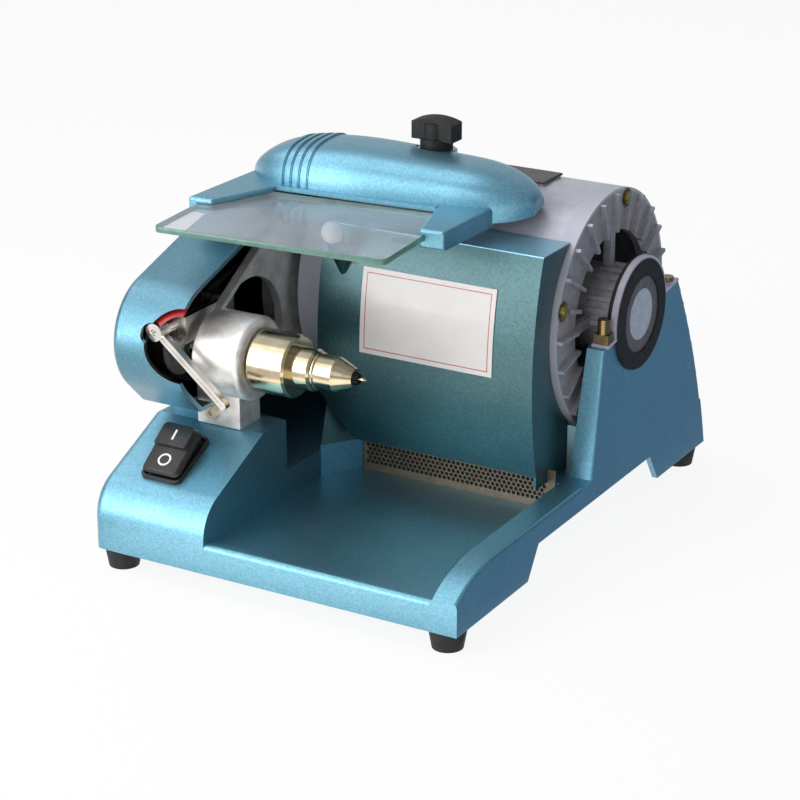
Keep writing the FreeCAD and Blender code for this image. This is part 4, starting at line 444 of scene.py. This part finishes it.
def moved_up(bm, face, rise, spread):
    """Extrudes this face by a rise in millimetres, spreads its outline and gives back the new face."""
    grown = bmesh.ops.extrude_face_region(bm, geom=[face])["geom"]
    bmesh.ops.delete(bm, geom=[face], context="FACES_ONLY")
    verts = [item for item in grown if isinstance(item, bmesh.types.BMVert)]
    bmesh.ops.translate(bm, vec=(0, 0, rise * mm), verts=verts)
    cap = next(item for item in grown if isinstance(item, bmesh.types.BMFace))
    bmesh.ops.scale(bm, vec=(*spread, 1), verts=cap.verts)
    return cap


def rocker_cap():
    """A soft boot: it fills the bezel, flares out over it, and the half marked on stands a step prouder."""
    bm = bmesh.new()
    block(bm, boot_low, boot_high)
    rounded(bm, [edge for edge in bm.edges if upright(edge)], boot_corner * mm, 4)
    top = moved_up(bm, facing(bm, (0, 0, 1)), boot_flare, (1.17, 1.1))
    top = moved_up(bm, top, boot_band, (1, 1))
    moved_up(bm, top, boot_crown, (0.87, 0.95))
    bmesh.ops.bisect_plane(bm, geom=bm.verts[:] + bm.edges[:] + bm.faces[:],
                           plane_co=(0, step_line * mm, 0), plane_no=(0, 1, 0))
    moved_up(bm, facing(bm, (0, 0.1, 1)), boot_step, (0.94, 0.97))
    crisp = [edge for edge in bm.edges if len(edge.link_faces) == 2 and edge.calc_face_angle() > 0.4]
    rounded(bm, crisp, 0.5 * mm, 2)
    bmesh.ops.recalc_face_normals(bm, faces=bm.faces)
    bmesh.ops.transform(bm, matrix=on_rocker, verts=bm.verts)
    return bm


def switch_bezel():
    """A low rounded lip round the boot, with the well that it rocks in."""
    bm = bmesh.new()
    block(bm, bezel_low, bezel_high)
    rounded(bm, [edge for edge in bm.edges if upright(edge)], bezel_corner * mm, 5)
    top = facing(bm, (0, 0, 1))
    rounded(bm, top.edges, 0.8 * mm, 2)
    floor = facing(bm, (0, 0, 1))
    bmesh.ops.inset_region(bm, faces=[floor], thickness=bezel_lip * mm)
    moved_up(bm, floor, -well_depth, (1, 1))
    bmesh.ops.recalc_face_normals(bm, faces=bm.faces)
    bmesh.ops.transform(bm, matrix=on_desk, verts=bm.verts)
    return bm


def rocker_marks():
    """A plain bar and a plain ring, printed just proud of the cap."""
    bm = bmesh.new()
    block(bm, bar_low, bar_high)
    rounded(bm, [edge for edge in bm.edges if upright(edge)], 0.3 * mm, 2)
    rims = []
    middle_of_ring = Matrix.Translation(Vector(ring_place) * mm)
    for radius in ring_radii:
        rim = bmesh.ops.create_circle(bm, segments=32, radius=radius * mm, matrix=middle_of_ring)["verts"]
        rims += {edge for vert in rim for edge in vert.link_edges}
    ring = bmesh.ops.bridge_loops(bm, edges=rims)["faces"]
    lifted = bmesh.ops.extrude_face_region(bm, geom=ring)["geom"]
    bmesh.ops.translate(bm, vec=(0, 0, ink * mm),
                        verts=[vert for vert in lifted if isinstance(vert, bmesh.types.BMVert)])
    bmesh.ops.recalc_face_normals(bm, faces=bm.faces)
    bmesh.ops.transform(bm, matrix=on_rocker, verts=bm.verts)
    return bm


piece("switch_bezel", switch_bezel(), "machine", "gloss_black", replaces=["switch_body"])
piece("rocker_cap", rocker_cap(), "switch", "gloss_black", replaces=["switch_rocker"])
piece("rocker_marks", rocker_marks(), "switch", "white_plate", [mark_paint])


# glass: the pane in its hood, in millimetres before the hood is turned
pane_low, pane_high = (-124, -132, 221), (39.5, -30, 225)
pane_corner = 5
pane_ease = 0.5


def glass_pane():
    """Ground float glass: rounded corners, eased edges, a green ground rim."""
    bm = bmesh.new()
    block(bm, pane_low, pane_high)
    rounded(bm, [edge for edge in bm.edges if upright(edge)], pane_corner * mm, 5)
    rim = [edge for edge in bm.edges if not upright(edge)]
    rounded(bm, [edge for edge in rim if edge.calc_face_angle() > 1], pane_ease * mm, 2)
    for face in bm.faces:
        face.material_index = 0 if abs(face.normal.z) > 0.95 else 1
    bmesh.ops.transform(bm, matrix=on_hood, verts=bm.verts)
    return bm


piece("glass_pane", glass_pane(), "glass", "clear_glass", [finishes["clear_glass"], ground_edge],
      replaces=["glass_shield"])


# floor, backdrop and lamps
def studio_white(name, share):
    """White that the camera, gloss and glass see at full brightness for this share, and that takes shadow."""
    material = bpy.data.materials.new(name)
    material.use_nodes = True
    tree = material.node_tree
    tree.nodes.clear()
    path = add(tree, "LightPath")
    seen = add(tree, "Math", {0: path.outputs["Is Camera Ray"], 1: path.outputs["Is Glossy Ray"]},
               operation="MAXIMUM")
    seen = add(tree, "Math", {0: seen.outputs[0], 1: path.outputs["Is Transmission Ray"]},
               operation="MAXIMUM")
    part = add(tree, "Math", {0: seen.outputs[0], 1: share}, operation="MULTIPLY")
    paper = add(tree, "BsdfDiffuse", {"Color": colour("#fafafa")})
    glow = add(tree, "Emission", {"Color": colour("#ffffff"), "Strength": 1.0})
    both = add(tree, "MixShader", {0: part.outputs[0], 1: paper.outputs[0], 2: glow.outputs[0]})
    add(tree, "OutputMaterial", {0: both.outputs[0]})
    return material


def studio_floor():
    bm = bmesh.new()
    bmesh.ops.create_grid(bm, x_segments=1, y_segments=1, size=6)
    mesh = bpy.data.meshes.new("floor")
    bm.to_mesh(mesh)
    bm.free()
    mesh.materials.append(studio_white("paper_floor", 0.9))
    floor = bpy.data.objects.new("floor", mesh)
    scene.collection.objects.link(floor)


def studio_world(ambient, gloss):
    """White where the camera sees it, a grey room in reflections and a soft even light on the part."""
    world = bpy.data.worlds.new("studio")
    scene.world = world
    world.use_nodes = True
    tree = world.node_tree
    tree.nodes.clear()
    path = add(tree, "LightPath")
    room = add(tree, "MapRange", {0: path.outputs["Is Glossy Ray"], 3: ambient, 4: gloss})
    seen = add(tree, "Math", {0: path.outputs["Is Camera Ray"], 1: path.outputs["Is Transmission Ray"]},
               operation="MAXIMUM")
    strength = add(tree, "MapRange", {0: seen.outputs[0], 3: room.outputs[0], 4: 1.0})
    sky = add(tree, "Background", {"Color": colour("#ffffff"), "Strength": strength.outputs[0]})
    add(tree, "OutputWorld", {0: sky.outputs[0]})


def softbox(name, place, aim, size, watts):
    data = bpy.data.lights.new(name, "AREA")
    data.size = size
    data.energy = watts
    lamp = bpy.data.objects.new(name, data)
    lamp.location = place
    lamp.rotation_euler = (Vector(aim) - Vector(place)).to_track_quat("-Z", "Y").to_euler()
    scene.collection.objects.link(lamp)


def card(name, place, aim, width, height, shade, strength=1.0):
    """A card that only gloss sees, to give bright metal and pearl paint their darker and lighter sides."""
    bm = bmesh.new()
    bmesh.ops.create_grid(bm, x_segments=1, y_segments=1, size=0.5)
    turn = (Vector(aim) - Vector(place)).to_track_quat("-Z", "Y").to_matrix().to_4x4()
    grow = Matrix.Diagonal((width, height, 1, 1))
    bmesh.ops.transform(bm, matrix=Matrix.Translation(place) @ turn @ grow, verts=bm.verts)
    mesh = bpy.data.meshes.new(name)
    bm.to_mesh(mesh)
    bm.free()
    material = bpy.data.materials.new(name)
    material.use_nodes = True
    tree = material.node_tree
    tree.nodes.clear()
    glow = add(tree, "Emission", {"Color": colour(shade), "Strength": strength})
    add(tree, "OutputMaterial", {0: glow.outputs[0]})
    mesh.materials.append(material)
    sheet = bpy.data.objects.new(name, mesh)
    sheet.visible_camera = False
    sheet.visible_diffuse = False
    sheet.visible_transmission = False
    sheet.visible_shadow = False
    scene.collection.objects.link(sheet)


middle = (0, 0, 0.12)
studio_floor()
studio_world(0.4, 0.5)
softbox("key", (-0.75, -1.25, 0.85), middle, size=0.9, watts=8.8)
softbox("top", (-0.6, -0.2, 1.4), middle, size=1.3, watts=9)
softbox("low", (-0.85, -1.5, 0.22), (0, 0, 0.05), size=0.6, watts=8)
softbox("fill", (0.15, -1.8, 0.9), middle, size=0.8, watts=4)
card("floor_card", (0.84, 0.6, 0.003), (0.84, 0.6, -1), width=1.4, height=1.8, shade="#728aa0")
card("right_card", (1.3, 1.2, 0.5), (0.1, 0, 0.12), width=1.8, height=1.2, shade="#516a7c")
card("rear_card", (-0.8, 1.4, 0.6), (0, 0, 0.15), width=2.0, height=1.1, shade="#c2ccd0")
card("front_card", (0.2, -0.5, 0.002), (0.2, -0.5, -1), width=0.7, height=0.56, shade="#fff8f0", strength=2.2)
